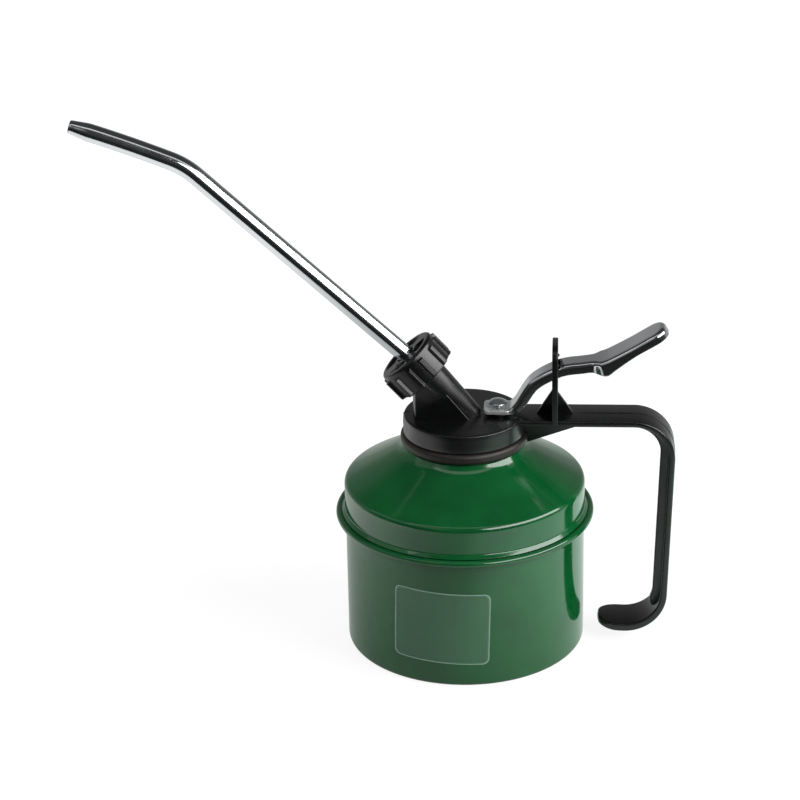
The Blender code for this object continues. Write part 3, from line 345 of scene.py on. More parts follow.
def mouldedRubber():
    # Nitrile rubber, compression moulded: dull brownish black with a soft broad sheen
    return startMaterial("mouldedNitrile", {
        "slot": "black_rubber", "colour": "1A1514", "darker": "161211", "lighter": "231B19",
        "cloud": (5, 4.0), "roughness": 0.5, "grain": (0.7, 2.0), "depth": 0.01, "ior": 1.5})


def brightPlate(name, colour, roughness, turn=0.0):
    # Bright nickel-chrome over drawn or pressed steel: a near mirror with fine polishing lines
    # along the part, 0.4 mm apart so that they show. Where a piece is marked dull, the plate is
    # satin and paler. Where it is marked with edge shade, the edge is painted dark grey: painted
    # shade where the mirror would show the bright floor
    look = {"slot": "chrome_plate", "colour": colour, "roughness": roughness, "smooth": roughness * 0.8,
            "rough": roughness * 1.3, "patch": (7, 3.0), "metallic": 1.0, "line": 0.4, "stretch": 20,
            "depth": 0.0004, "dull": "E2E5E3", "dullRoughness": 0.38, "dullMetal": 0.4, "paintedEdgeShade": "24282A",
            "paintedEdgeShadeShare": 0.92}
    made = startMaterial(name, look)
    tree, shader, where = openMaterial(made)
    lay = addNode(tree, "Mapping", {"Vector": where, "Rotation": (0.0, math.radians(turn), 0.0),
                                    "Scale": (1 / look["stretch"], 1.0, 1.0)})
    lines = addNode(tree, "TexNoise", {"Vector": lay, "Scale": 1 / (look["line"] * mm), "Detail": 2.0})
    relief(tree, shader, lines, look["depth"])
    dull = addNode(tree, "Attribute", attribute_name="dull").outputs["Fac"]
    paintedEdgeShade = addNode(tree, "Attribute", attribute_name="paintedEdgeShade").outputs["Fac"]
    polish = shader.inputs["Roughness"].links[0].from_socket
    satin = addNode(tree, "MapRange", {"Value": dull, "To Min": polish, "To Max": look["dullRoughness"]})
    metal = addNode(tree, "MapRange", {"Value": dull, "To Min": 1.0, "To Max": look["dullMetal"]})
    plate = addNode(tree, "ValToRGB", {"Fac": dull})
    fillRamp(plate, [(0.0, hexColour(colour)), (1.0, hexColour(look["dull"]))])
    # The edge's painted shade: a dark grey laid over the plate where the edge is marked
    edge = addNode(tree, "MapRange", {"Value": paintedEdgeShade, "To Min": 0.0, "To Max": look["paintedEdgeShadeShare"]})
    mixed = addNode(tree, "Mix", {0: edge, 6: plate, 7: hexColour(look["paintedEdgeShade"])}, data_type="RGBA")
    wire(tree, shader, {"Roughness": satin, "Metallic": metal, "Base Color": mixed.outputs[2]})
    return made


def zincPlate():
    # Clear zinc on headed steel: slightly blue grey, crystalline, so half mirror and half satin
    return startMaterial("clearZincPlate", {
        "slot": "zinc_plate", "colour": "C3C8CC", "darker": "B9BFC1", "lighter": "CDD2D3",
        "roughness": 0.22, "smooth": 0.17, "rough": 0.27, "patch": (2.5, 3.0), "metallic": 0.9})


def turnedBrass():
    # Free-cutting brass, turned: warm yellow with tool rings along the axis, about 0.3 mm apart and
    # drawn 1.9 mm apart so that they show
    look = {"slot": "turned_brass", "colour": "C29A4E", "darker": "B48C42", "lighter": "CBA356",
            "roughness": 0.25, "smooth": 0.18, "rough": 0.34, "patch": (4, 3.0), "metallic": 1.0,
            "ring": 1.88496, "distortion": 0.4, "depth": 0.004}
    made = startMaterial("turnedBrass", look)
    tree, shader, where = openMaterial(made)
    # The node's wave takes 20 radians over a scale of 1
    rings = addNode(tree, "TexWave", {"Vector": where, "Scale": math.tau / (20 * look["ring"] * mm),
                                      "Distortion": look["distortion"], "Detail": 1.0}, bands_direction="Z")
    relief(tree, shader, rings.outputs["Fac"], look["depth"])
    return made


def groundSteel():
    # Centreless-ground carbon steel: bright grey with a tight, even grind
    return startMaterial("groundSteel", {
        "slot": "bearing_steel", "colour": "B9BCBF", "darker": "AEB1B4", "lighter": "C3C6C8",
        "roughness": 0.2, "smooth": 0.14, "rough": 0.26, "patch": (3, 3.0), "metallic": 1.0})


def drawnSpring():
    # Hard-drawn spring wire: darker grey with a dull draw scale
    return startMaterial("drawnSpringWire", {
        "slot": "spring_steel", "colour": "85888B", "darker": "74777A", "lighter": "8F9295",
        "roughness": 0.35, "smooth": 0.28, "rough": 0.45, "patch": (1, 3.0), "metallic": 1.0})


def extrudedAcetal():
    # Natural acetal tube, extruded: milky white, waxy and faintly clouded
    made = startMaterial("extrudedAcetal", {
        "slot": "white_acetal", "colour": "E6E3DA", "darker": "E0DDD3", "lighter": "EBE8E0",
        "roughness": 0.35, "smooth": 0.28, "rough": 0.42, "patch": (3, 3.0), "ior": 1.48})
    tree, shader = openMaterial(made)[:2]
    wire(tree, shader, {"Subsurface Weight": 0.2, "Subsurface Scale": 2 * mm})
    return made


def clearFilm():
    # Clear polypropylene film, die cut: almost invisible over the enamel, with a paler cut edge
    # where its side catches the light and a faint ripple of trapped air
    look = {"slot": "clear_film", "colour": "A9D2BA", "roughness": 0.10, "ior": 1.49, "clear": 0.06,
            "edge": 0.55, "grain": (9, 0.0), "depth": 0.008}
    made = startMaterial("clearPolypropyleneFilm", look)
    tree, shader = openMaterial(made)[:2]
    rim = addNode(tree, "Attribute", attribute_name="rim").outputs["Fac"]
    alpha = addNode(tree, "MapRange", {"Value": rim, "To Min": look["clear"], "To Max": look["edge"]})
    wire(tree, shader, {"Alpha": alpha})
    return made


enamel = stovedEnamel()
nylon = mouldedNylon()
rubber = mouldedRubber()
spoutChrome = brightPlate("brightSpoutPlate", "C9CDD0", 0.13, 43.0)
leverChrome = brightPlate("brightLeverPlate", "CED1D3", 0.09)
zinc = zincPlate()
brass = turnedBrass()
steel = groundSteel()
spring = drawnSpring()
acetal = extrudedAcetal()
film = clearFilm()
print("materials made")


# The can: a drawn cup with a curled lip, and a dome whose skirt steps into the cup

can = {"radius": 42.5, "sheet": 0.6, "baseFillet": 1.5, "insideFillet": 0.9, "mouth": 49.0,
       "flare": [(0.3, 0.5), (1.1, 0.85)], "lipTop": 50.3, "curl": 1.25, "reach": 3.4, "curlFrom": 108,
       "curlTo": -125, "lipDrop": 2.2, "lipBend": (0.45, 0.75), "columns": 192}


def makeCup():
    # One profile turned about the axis: the inside, a flare out to the curl's arc, a smooth bend
    # back to the wall, and the outside
    inner = can["radius"] - can["sheet"]
    centre = (can["radius"] + can["reach"] - can["curl"], can["lipTop"] - can["curl"])
    root = centre[1] - can["lipDrop"]
    inside = filletLine([(0.0, can["sheet"]), (inner, can["sheet"], can["insideFillet"]),
                         (inner, can["mouth"])], 8, False)
    curl = arcLine(centre, can["curl"], can["curlFrom"], can["curlTo"], 22)
    outside = filletLine([(can["radius"], root), (can["radius"], 0.0, can["baseFillet"]), (0.0, 0.0)],
                         10, False)
    flare = smoothLine([inside[-1], *(inside[-1] + can["flare"]), curl[0]], 0.3)
    bend = smoothLine([curl[-1], outside[0] + can["lipBend"], outside[0]], 0.3)
    profile = join(spreadLine(inside, 2.0)[:-1], flare[:-1], curl, bend[1:-1],
                   spreadLine(outside, 2.0))
    makePiece("cup", turnGrid(profile, can["columns"]), enamel, "can", "lower_body")


# Radius, height and fillet of each corner
dome = {"neck": [(19.2, 82.0), (19.2, 75.3, 0.5)],
        "shell": [(20.9, 75.3, 0.4), (22.7, 72.9, 9.0), (42.7, 61.3, 2.4)],
        "foot": [(42.7, 51.6, 0.9), (43.85, 50.35, 0.12), (43.2, 49.9, 0.1), (41.6, 49.0, 0.35),
                 (41.6, 44.0)]}


def makeDome():
    # Neck, seat, cone, shoulder and skirt turned about the axis; the foot flares on to the cup's
    # lip and steps in to its mouth
    profile = filletLine([*dome["neck"], *dome["shell"], *dome["foot"]], 9, False)
    grid = turnGrid(spreadLine(profile, 1.5), can["columns"])
    thicken(makePiece("dome", grid, enamel, "can", "upper_body"), can["sheet"])


neckThread = {"radius": 19.18, "start": 76.7, "pitch": 2.8, "turns": 1.5, "bead": 0.28, "stretch": 1.6,
              "fade": 0.5}


def makeNeckThread():
    # A round bead wound round the neck: (r cos t, r sin t) at a height that climbs a pitch a turn
    turn = np.linspace(0.0, neckThread["turns"] * math.tau, 150)[:, None]
    size = neckThread["bead"] * np.minimum(1.0, np.minimum(turn, turn[-1] - turn) / neckThread["fade"])
    angles = np.arange(8) / 8 * math.tau
    radius = neckThread["radius"] + size * np.cos(angles)
    height = neckThread["start"] + neckThread["pitch"] * turn / math.tau
    grid = xyz(radius * np.cos(turn), radius * np.sin(turn),
               height + neckThread["stretch"] * size * np.sin(angles))
    makePiece("neckThread", grid, enamel, "can")


labelFilm = {"width": 34.6, "height": 27.4, "middle": 22.8, "corner": 2.2, "turn": -9.5, "tilt": -1.7,
             "lift": 0.22, "thickness": 0.12, "rim": (0.97, 0.985)}


def makeFilm():
    # A rounded rectangle shrunk in rings towards its middle and wrapped round the cup:
    # arc length s becomes the angle s / r
    w, h, c = labelFilm["width"] / 2, labelFilm["height"] / 2, labelFilm["corner"]
    outline = spreadLine(filletLine([(-w, -h, c), (w, -h, c), (w, h, c), (-w, h, c)], 8), 1.0, True)
    shares = np.array([0.0, 0.2, 0.4, 0.6, 0.8, 0.9, 0.95, 0.975, 0.99, 1.0])[:, None]
    across, up = outline[:, 0] * shares, outline[:, 1] * shares
    tilt = math.radians(labelFilm["tilt"])
    s = across * math.cos(tilt) - up * math.sin(tilt)
    z = across * math.sin(tilt) + up * math.cos(tilt) + labelFilm["middle"]
    angle = s / can["radius"] + math.radians(-90 + labelFilm["turn"])
    outer = can["radius"] + labelFilm["lift"]
    top, low = (xyz(radius * np.cos(angle), radius * np.sin(angle), z)
                for radius in (outer, outer - labelFilm["thickness"]))
    rim = softStep(shares, *labelFilm["rim"])
    makePiece("clearFilm", join(top, low[::-1]), film, "can", "label_film",
              marks={"rim": join(rim, rim[::-1])})


makeCup()
makeDome()
makeNeckThread()
makeFilm()
print("can made")


# The head: the cap with its seal and pump socket, the boss and its block, the handle and the post

head = {"top": 86.3, "plate": 2.5, "radius": 21.4, "taper": 0.3, "edge": 0.6, "foot": 79.8, "bore": 19.6,
        "footEdge": 0.25, "boreEdge": 0.2, "boreFillet": 0.3, "pumpX": 12.0, "glandHole": (3.5, 80.0, 90.0)}
seal = {"inner": 19.5, "outer": 22.4, "low": 75.6, "high": 79.5, "outerRound": 1.5, "innerRound": 0.8}
socket = {"neck": 3.5, "radius": 6.1, "bore": 5.1, "top": 85.7, "ceiling": 77.0, "foot": 66.0,
          "footEdge": 0.5, "boreEdge": 0.2}


def makeSeal():
    # A rounded four-cornered section turned about the can's axis
    turnPiece("sealRing", [
        (seal["inner"], seal["high"], seal["innerRound"]), (seal["outer"], seal["high"], seal["outerRound"]),
        (seal["outer"], seal["low"], seal["outerRound"]), (seal["inner"], seal["low"], seal["innerRound"]),
    ], rubber, "seal_ring", "neck_seal", lambda grid: grid, 10, 0.5, 144)


def makeCap():
    # A lid with a tapering skirt, turned about the can's axis, and the gland's hole through its top
    under = head["top"] - head["plate"]
    profile = filletLine([
        (0.0, head["top"]),
        (head["radius"] - head["taper"], head["top"], head["edge"]),
        (head["radius"], head["foot"], head["footEdge"]),
        (head["bore"], head["foot"], head["boreEdge"]),
        (head["bore"], under, head["boreFillet"]),
        (0.0, under),
    ], 7, False)
    cap = makePiece("cap", turnGrid(spreadLine(profile, 1.5), 144), nylon, "pump_head", "head")
    drill(cap, "glandHole", *head["glandHole"], onPump)


def makeSocket():
    # A tube with a thick ceiling, turned about the pump's axis
    turnPiece("pumpSocket", [
        (socket["neck"], socket["top"]), (socket["radius"], socket["top"]),
        (socket["radius"], socket["foot"], socket["footEdge"]),
        (socket["bore"], socket["foot"], socket["boreEdge"]),
        (socket["bore"], socket["ceiling"]), (socket["neck"], socket["ceiling"]),
    ], nylon, "pump_head", None, steps=5, columns=64)


# Distances along the boss's axis, with its top line and its radius there
boss = {"elevation": 47.4, "along": [-3.3, 10.0, 19.0], "top": [5.4, 6.295, 6.9], "round": [3.9, 6.1, 6.9],
        "coneEnd": 19.8, "collar": [(6.9, 20.0, 0.2), (7.4, 20.0, 0.2), (7.7, 20.3)],
        "thread": (20.3, 24.9), "pitch": 1.5, "threadRadius": 7.72, "threadDepth": 0.26,
        "front": [(7.7, 25.0), (7.5, 25.2, 0.2), (4.6, 25.2, 0.2), (4.6, 18.5), (2.6, 18.5), (2.6, 9.0),
                  (0.0, 9.0)]}


def makeBoss():
    # A cone that narrows to its foot while its top line keeps straight, and the thread, whose
    # radius dips a little each pitch
    thread = np.arange(*boss["thread"], 0.12)
    turns = (thread - thread[0]) / boss["pitch"]
    wave = boss["threadRadius"] + boss["threadDepth"] * np.cos(turns * math.tau)
    foot = boss["along"][0]
    along = np.linspace(foot, boss["coneEnd"], 21)
    cone = np.column_stack([np.interp(along, boss["along"], boss["round"]), along])
    collar = filletLine([cone[-1], *boss["collar"]], 4, False)
    front = spreadLine(filletLine(boss["front"], 4, False), 1.5)
    profile = join([(0.0, foot)], cone[:-1], collar[:-1], np.column_stack([wave, thread]), front)
    lift = np.interp(profile[:, 1], boss["along"], np.subtract(boss["top"], boss["round"]))
    lift[-len(front):] = 0.0
    grid = turnGrid(profile, 72)
    grid[..., 0] += lift[:, None]
    makePiece("spoutBoss", leanOver(grid), nylon, "pump_head")


block = {"left": -17.7, "right": 2.2, "floor": 84.8, "round": 1.3, "edge": 0.35,
         "ridgeX": [-17.7, -11.14, -5.3, 2.2], "ridgeZ": [95.43, 101.4, 95.1, 86.2],
         "draftZ": [86.3, 94.6, 102.0], "draftHalf": [6.55, 6.0, 5.5], "blend": (0.5, 9.0),
         "outletHole": (3.0, 8.5, 19.2)}


def makeBlock():
    # Plan points (x, share of the half width) rise to the ridge line over x. The half width follows
    # the mould's draft, and swells to the boss's own radius below its axis, so that the two blend.
    # The last row closes on the middle plane
    r, e = block["round"], block["edge"]
    angle = np.linspace(math.pi, math.pi / 2, 14)
    bend = np.column_stack([block["left"] + r + r * np.cos(angle), np.sin(angle)])
    straight = np.column_stack([np.linspace(block["left"] + r, block["right"], 40), np.ones(40)])
    side = join(bend, straight[1:])
    x, share = join(side, (side * (1, -1))[::-1]).T
    ridge = np.interp(x, block["ridgeX"], block["ridgeZ"])
    inset, drop = quarterRound(5)
    levels = join(np.linspace(0.0, 1.0, 16)[:-1], np.ones(6))[:, None]
    sink = e * join(np.ones(15), inset, [0.0])[:, None]
    pull = join(np.zeros(15), e * drop, [np.inf])[:, None]
    z = block["floor"] + (ridge - block["floor"]) * levels - sink
    half = np.interp(z, block["draftZ"], block["draftHalf"])
    lean = math.radians(boss["elevation"])
    up = z - head["top"]
    along = up * math.sin(lean) - x * math.cos(lean)
    below = -(x * math.sin(lean) + up * math.cos(lean))
    cone = np.interp(along, boss["along"], boss["round"])
    half = half + np.maximum(cone - half, 0.0) * (below > 0) * (1 - softStep(below, *block["blend"]))
    grid = xyz(x, np.maximum(half - pull, 0.0) * share, z)
    piece = makePiece("bossBlock", grid, nylon, "pump_head", sharp=30)
    # Room for the outlet ball inside the boss
    drill(piece, "outletHole", *block["outletHole"], leanOver)


handle = {"top": 86.4, "root": 17.2, "halfWidth": 7.9, "thickness": 2.2, "tongue": 2.9, "edge": 0.7,
          "reach": 74.2, "bend": 14.5, "lean": 2.05, "hook": 15.0, "floor": 3.8, "tip": 47.6,
          "tipRound": 7.4, "curlFrom": 58.0, "curl": 1.0}
web = {"half": 1.5, "depth": 5.0, "edge": 0.5, "gussetX": [20.4, 22.26, 22.28, 39.1],
       "gussetDepth": [7.4, 7.4, 10.95, 5.0], "straightX": (24.0, 58.5), "hookEnd": 42, "fadeFrom": 24,
       "fadeOver": 18}


def handleLine(hookEnd):
    # The strap's outer line in x and z, as two arcs and the straight between them, with the
    # outward direction at each point
    lean = math.radians(handle["lean"])
    bend = np.array([handle["reach"] - handle["bend"], handle["top"] - handle["bend"]])
    outward = np.array([math.cos(lean), -math.sin(lean)])
    down = np.array([-math.sin(lean), -math.cos(lean)])
    drop = bend[1] + (handle["bend"] - handle["hook"]) * outward[1] - handle["floor"] - handle["hook"]
    hook = bend + (handle["bend"] - handle["hook"]) * outward + down * drop / math.cos(lean)
    upper = arcLine(bend, handle["bend"], 90, -handle["lean"], 26)
    lower = arcLine(hook, handle["hook"], -handle["lean"], -hookEnd, 28)
    line = join(upper, lower)
    normal = join((upper - bend) / handle["bend"], (lower - hook) / handle["hook"])
    joined = spreadLine(np.column_stack([line, normal]), 2.0)
    return joined[:, :2], unit(joined[:, 2:]), hook


def sweepSection(path, out, y, depth):
    # Each path point sunk against its outward direction by the section's depth, at the width y
    spot = path[:, None] - out[:, None] * depth[..., None]
    return closeEnds(xyz(spot[..., 0], y, spot[..., 1]))


def makeStrap():
    # A flat section with rounded edges carried along the line; near the tip its width follows a
    # circle, its thickness closes to a round end, and it curls up by a square law
    line, normal, hook = handleLine(90)
    lead = spreadLine([(handle["root"], handle["top"]), line[0]], 2.0)[:-1]
    tail = spreadLine([line[-1], (handle["tip"], handle["floor"])], 0.35)[1:]
    curl = (handle["curlFrom"] - tail[:, 0]) / (handle["curlFrom"] - handle["tip"])
    tail[:, 1] += handle["curl"] * np.clip(curl, 0.0, 1.0) ** 2
    path = join(lead, line, tail)
    out = join(np.tile([0.0, 1.0], (len(lead), 1)), normal, np.tile([0.0, -1.0], (len(tail), 1)))
    share = np.clip((hook[1] - path[:, 1]) / handle["hook"], 0.0, 1.0)
    thick = (handle["thickness"] + (handle["tongue"] - handle["thickness"]) * share)[:, None]
    toTip = np.where(path[:, 1] < handle["top"] / 2, path[:, 0] - handle["tip"], np.inf)
    short = handle["tipRound"] - np.clip(toTip, 0.0, handle["tipRound"])
    width = handle["halfWidth"] - handle["tipRound"] + np.sqrt(handle["tipRound"] ** 2 - short ** 2)
    e = handle["edge"]
    dip = e - np.clip(toTip, 0.0, e)
    pinch = e - np.sqrt(np.maximum(e ** 2 - dip ** 2, 0.0))
    inset, drop = quarterRound(6)
    across = np.tile(join(inset, inset[::-1]), 2)
    down = np.tile(join(drop, drop[::-1]), 2)
    side = np.repeat([1, 1, -1, -1], 6)
    face = np.repeat([0, 1, 1, 0], 6)
    y = side * (width[:, None] - np.minimum(e, width)[:, None] * across)
    depth = face * thick + (1 - 2 * face) * e * down
    middle = thick / 2
    depth = middle + (depth - middle) * np.clip((middle - pinch[:, None]) / middle, 0.0, 1.0)
    makePiece("handleStrap", sweepSection(path, out, y, depth), nylon, "pump_head", sharp=30)


def makeWeb():
    # A narrow section hung under the strap; its depth swells into the gusset at the cap and
    # fades out round the hook
    line, normal, hook = handleLine(web["hookEnd"])
    leadX = join(web["gussetX"][:3], np.linspace(*web["straightX"], 24))
    lead = np.column_stack([leadX, np.full(len(leadX), handle["top"])])
    path = join(lead, line)
    out = join(np.tile([0.0, 1.0], (len(lead), 1)), normal)
    gusset = np.interp(path[:, 0], web["gussetX"], web["gussetDepth"])
    depth = np.where(np.arange(len(path)) < len(lead), gusset, web["depth"])
    angle = -np.degrees(np.arctan2(path[:, 1] - hook[1], path[:, 0] - hook[0]))
    fade = np.clip((angle - web["fadeFrom"]) / web["fadeOver"], 0.0, 1.0) * (path[:, 1] < hook[1])
    skin = handle["thickness"] / 2
    depth = depth + (skin - depth) * fade ** 2
    e, w = web["edge"], web["half"]
    inset, drop = quarterRound(5)
    side = join([w], w - e * drop)
    hang = join([0.0], np.ones(10), [0.0])
    back = e * join([0.0], inset, inset[::-1], [0.0])
    level = skin + (np.maximum(depth, skin + e)[:, None] - skin) * hang - back
    grid = sweepSection(path, out, join(side, -side[::-1]), level)
    makePiece("handleWeb", grid, nylon, "pump_head", sharp=30)


mouldLine = {"size": 0.2, "sink": 0.06, "strapX": (39.2, 59.0), "hookEnd": 70,
             "cap": [(-21.4, 80.2), (-21.1, 86.0), (-20.8, 86.25), (-17.9, 86.25)],
             "block": [(-17.65, 86.4), (-17.65, 95.2)]}


def makeMouldLine(name, path):
    # The thin raised line that the mould's two halves leave: a round bead along a path in the
    # middle plane, thinning to a point at both ends
    ahead = unit(np.gradient(path, axis=0))
    steps = np.arange(len(path))
    bead = mouldLine["size"] * np.minimum(1.0, np.minimum(steps, steps[::-1]) / 3)[:, None]
    turn = np.arange(8) / 8 * math.tau
    grid = xyz(path[:, :1] + ahead[:, 1:] * bead * np.cos(turn), bead * np.sin(turn),
               path[:, 1:] - ahead[:, :1] * bead * np.cos(turn))
    makePiece(name, grid, nylon, "pump_head")


def makeMouldLines():
    # One along the handle's outer face, one up the cap on the spout's side and one up the block
    line, out = handleLine(mouldLine["hookEnd"])[:2]
    lead = [(x, handle["top"]) for x in np.linspace(*mouldLine["strapX"], 12)]
    makeMouldLine("strapMouldLine", join(lead, line - mouldLine["sink"] * out))
    makeMouldLine("capMouldLine", spreadLine(mouldLine["cap"], 0.8))
    makeMouldLine("blockMouldLine", spreadLine(mouldLine["block"], 0.8))


post = {"x": 32.05, "thickness": 2.0, "halfWidth": 8.1, "top": 113.3, "corner": 5.1, "foot": 85.0,
        "footCorner": 0.3, "windowHalf": 5.3, "sill": 99.41, "windowTop": 107.3, "windowCorner": 0.5,
        "edge": 0.3, "sillRadius": 0.95, "sillHalf": 6.8, "nib": (33.0, 0.0, 108.3),
        "nibSize": (0.6, 0.9, 0.55)}
ribs = {"half": 0.75, "edge": 0.2, "outline": [(25.6, 85.3, 0.1), (38.5, 85.3, 0.1), (38.5, 86.4, 0.2),
                                               (33.05, 94.4, 0.2), (31.05, 95.2, 0.2), (25.6, 86.4, 0.2)]}


def makePost():
    # A small rounded section carried round the window, stretched from its rim to the plate's rim
    def frameLine(half, low, high, lowCorner, highCorner):
        # A rectangle about the middle plane, with rounded corners
        return filletLine([(-half, low, lowCorner), (half, low, lowCorner), (half, high, highCorner),
                           (-half, high, highCorner)], 10)

    outer = frameLine(post["halfWidth"], post["foot"], post["top"], post["footCorner"], post["corner"])
    inner = frameLine(post["windowHalf"], post["sill"], post["windowTop"], post["footCorner"],
                      post["windowCorner"])
    outward = unit(outer - inner)
    e, h = post["edge"], post["thickness"] / 2
    back, away = (e * part for part in quarterRound(5))
    inset = np.tile(join(away, away[::-1]), 2)[:, None, None]
    level = join(back - h, back[::-1] - h, h - back, h - back[::-1])[:, None]
    onOuter = np.repeat([False, True, True, False], 5)[:, None, None]
    flat = np.where(onOuter, outer - outward * inset, inner + outward * inset)
    grid = xyz(post["x"] + level, flat[..., 0], flat[..., 1])
    makePiece("leverPost", grid, nylon, "pump_head", loopAlong=True, sharp=30)


def makeSill():
    # A round bar laid across the window, where the lever rocks
    r, half = post["sillRadius"], post["sillHalf"]
    bar = turnGrid(spreadLine([(0.0, -half), (r, -half), (r, half), (0.0, half)], 1.5), 32)
    x, z, y = np.moveaxis(bar, -1, 0)
    makePiece("postSill", xyz(x + post["x"], y, z + post["sill"]), nylon, "pump_head")


def makeRibs():
    # The side outline, which runs anticlockwise, carried through the ribs' thickness; each rim is
    # drawn inwards by a quarter round
    outline = spreadLine(filletLine(ribs["outline"], 4), 1.0, True)
    ahead = unit(np.roll(outline, -1, 0) - outline)
    along = unit(ahead + np.roll(ahead, 1, 0))
    inset, rise = (ribs["edge"] * part for part in quarterRound(5))
    inset = join(inset, inset[::-1])[:, None]
    level = join(rise - ribs["half"], (ribs["half"] - rise)[::-1])[:, None]
    grid = xyz(outline[:, 0] - along[:, 1] * inset, level, outline[:, 1] + along[:, 0] * inset)
    makePiece("postRibs", closeEnds(grid), nylon, "pump_head", sharp=30)


def makeNib():
    # A small ellipsoid: centre + size * (cos b cos a, cos b sin a, sin b)
    angle = np.arange(16) / 16 * math.tau
    lat = np.linspace(-math.pi / 2, math.pi / 2, 9)[:, None]
    ball = xyz(np.cos(lat) * np.cos(angle), np.cos(lat) * np.sin(angle), np.sin(lat))
    makePiece("postNib", np.add(post["nib"], post["nibSize"] * ball), nylon, "pump_head")


makeSeal()
makeCap()
makeSocket()
makeBoss()
makeBlock()
makeStrap()
makeWeb()
makePost()
makeSill()
makeRibs()
makeNib()
makeMouldLines()
print("head made")


# The union nut, the ferrule and the spout tube

nut = {"radius": 11.2, "rear": 19.4, "front": 29.9, "wall": 2.0, "hole": 3.6, "bore": 8.4, "edge": 1.1,
       "rearEdge": 0.3, "holeEdge": 0.25, "ribs": 12, "ribHalf": 1.0, "ribHeight": 1.1, "ribEdge": 0.35,
       "ribFoot": 0.12, "ribRear": (19.3, 19.75), "ribFront": (27.5, 27.9), "ribFrom": (10.3, 11.15),
       "flank": (-1.8, -0.9, 0.0, 0.8, 1.6), "between": (10.0, 15.0, 20.0), "pockets": 4,
       "pocketInner": 5.2, "pocketOuter": 8.7, "pocketEdge": 0.25, "pocketDepth": 0.9,
       "pocketFace": (29.3, 29.85), "pocketHalf": 25.0, "pocketStart": 68.0, "pocketSlope": 0.8}


def makeNut():
    # The outside's radius grows by the rib height where the distance to the nearest rib's middle
    # is small, and the front face drops by the pocket depth inside each pocket's ring and angle.
    # The columns stand close together where the surface bends
    ribStep, pocketStep, slope = 360.0 / nut["ribs"], 360.0 / nut["pockets"], nut["pocketSlope"]
    half = math.degrees(nut["ribHalf"] / nut["radius"])
    flank = [half + step for step in nut["flank"]]
    marks = [0.0, *nut["between"], *flank, *(-mark for mark in flank)]
    angle = [rib * ribStep + mark for rib in range(nut["ribs"]) for mark in marks]
    for pocket in range(nut["pockets"]):
        middle = nut["pocketStart"] + pocketStep * pocket
        angle += [middle + side * (nut["pocketHalf"] + step)
                  for side in (-1, 1) for step in (-slope, 0.0, slope)]
    angle = np.unique(np.round(np.mod(angle, 360.0), 3))
    rear, front, under = nut["rear"], nut["front"], nut["front"] - nut["wall"]
    rim = filletLine([(nut["bore"], rear), (nut["radius"], rear, nut["rearEdge"]),
                      (nut["radius"], front, nut["edge"]), (nut["hole"], front, nut["holeEdge"]),
                      (nut["hole"], under), (nut["bore"], under)], 8)
    r, s = spreadLine(rim, 0.45, True).T[..., None]
    away = np.abs((angle + ribStep / 2) % ribStep - ribStep / 2)[None] * math.radians(1.0) * nut["radius"]
    onRib = 1 - softStep(away, nut["ribHalf"] - nut["ribEdge"], nut["ribHalf"] + nut["ribFoot"])
    along = softStep(s, *nut["ribRear"]) * (1 - softStep(s, *nut["ribFront"]))
    outside = softStep(r, *nut["ribFrom"])
    radius = r + nut["ribHeight"] * onRib * along * outside
    nearest = np.abs((angle - nut["pocketStart"] + pocketStep / 2) % pocketStep - pocketStep / 2)[None]
    inPocket = 1 - softStep(nearest, nut["pocketHalf"] - slope, nut["pocketHalf"] + slope)
    e = nut["pocketEdge"]
    inRing = softStep(r, nut["pocketInner"] - e, nut["pocketInner"] + e)
    inRing = inRing * (1 - softStep(r, nut["pocketOuter"] - e, nut["pocketOuter"] + e))
    level = s - nut["pocketDepth"] * inPocket * inRing * softStep(s, *nut["pocketFace"])
    turn = np.radians(angle)
    grid = xyz(radius * np.cos(turn), radius * np.sin(turn), level)
    makePiece("unionNut", leanOver(grid), nylon, "nut", "union_nut", loopAlong=True, sharp=32)


ferrule = [(3.2, 27.6), (7.4, 27.6), (7.4, 26.7), (4.3, 26.7), (4.3, 18.8), (1.2, 18.8), (1.2, 19.6),
           (3.2, 19.6)]
# Each leg is its length, its first and last elevation, and its steps
spout = {"radius": 3.15, "bore": 2.3, "tipRadius": 2.3, "tipBore": 1.4, "taper": 7.0, "taperRound": 0.35,
         "lipArc": (20, 160), "foot": 19.9,
         "legs": [(9.1, 47.4, 47.4, 6), (1.54, 47.4, 43.0, 4), (95.5, 43.0, 43.0, 48), (9.9, 43.0, 22.0, 16),
                  (29.5, 22.0, 18.36, 16), (7.0, 18.36, 17.5, 14)]}


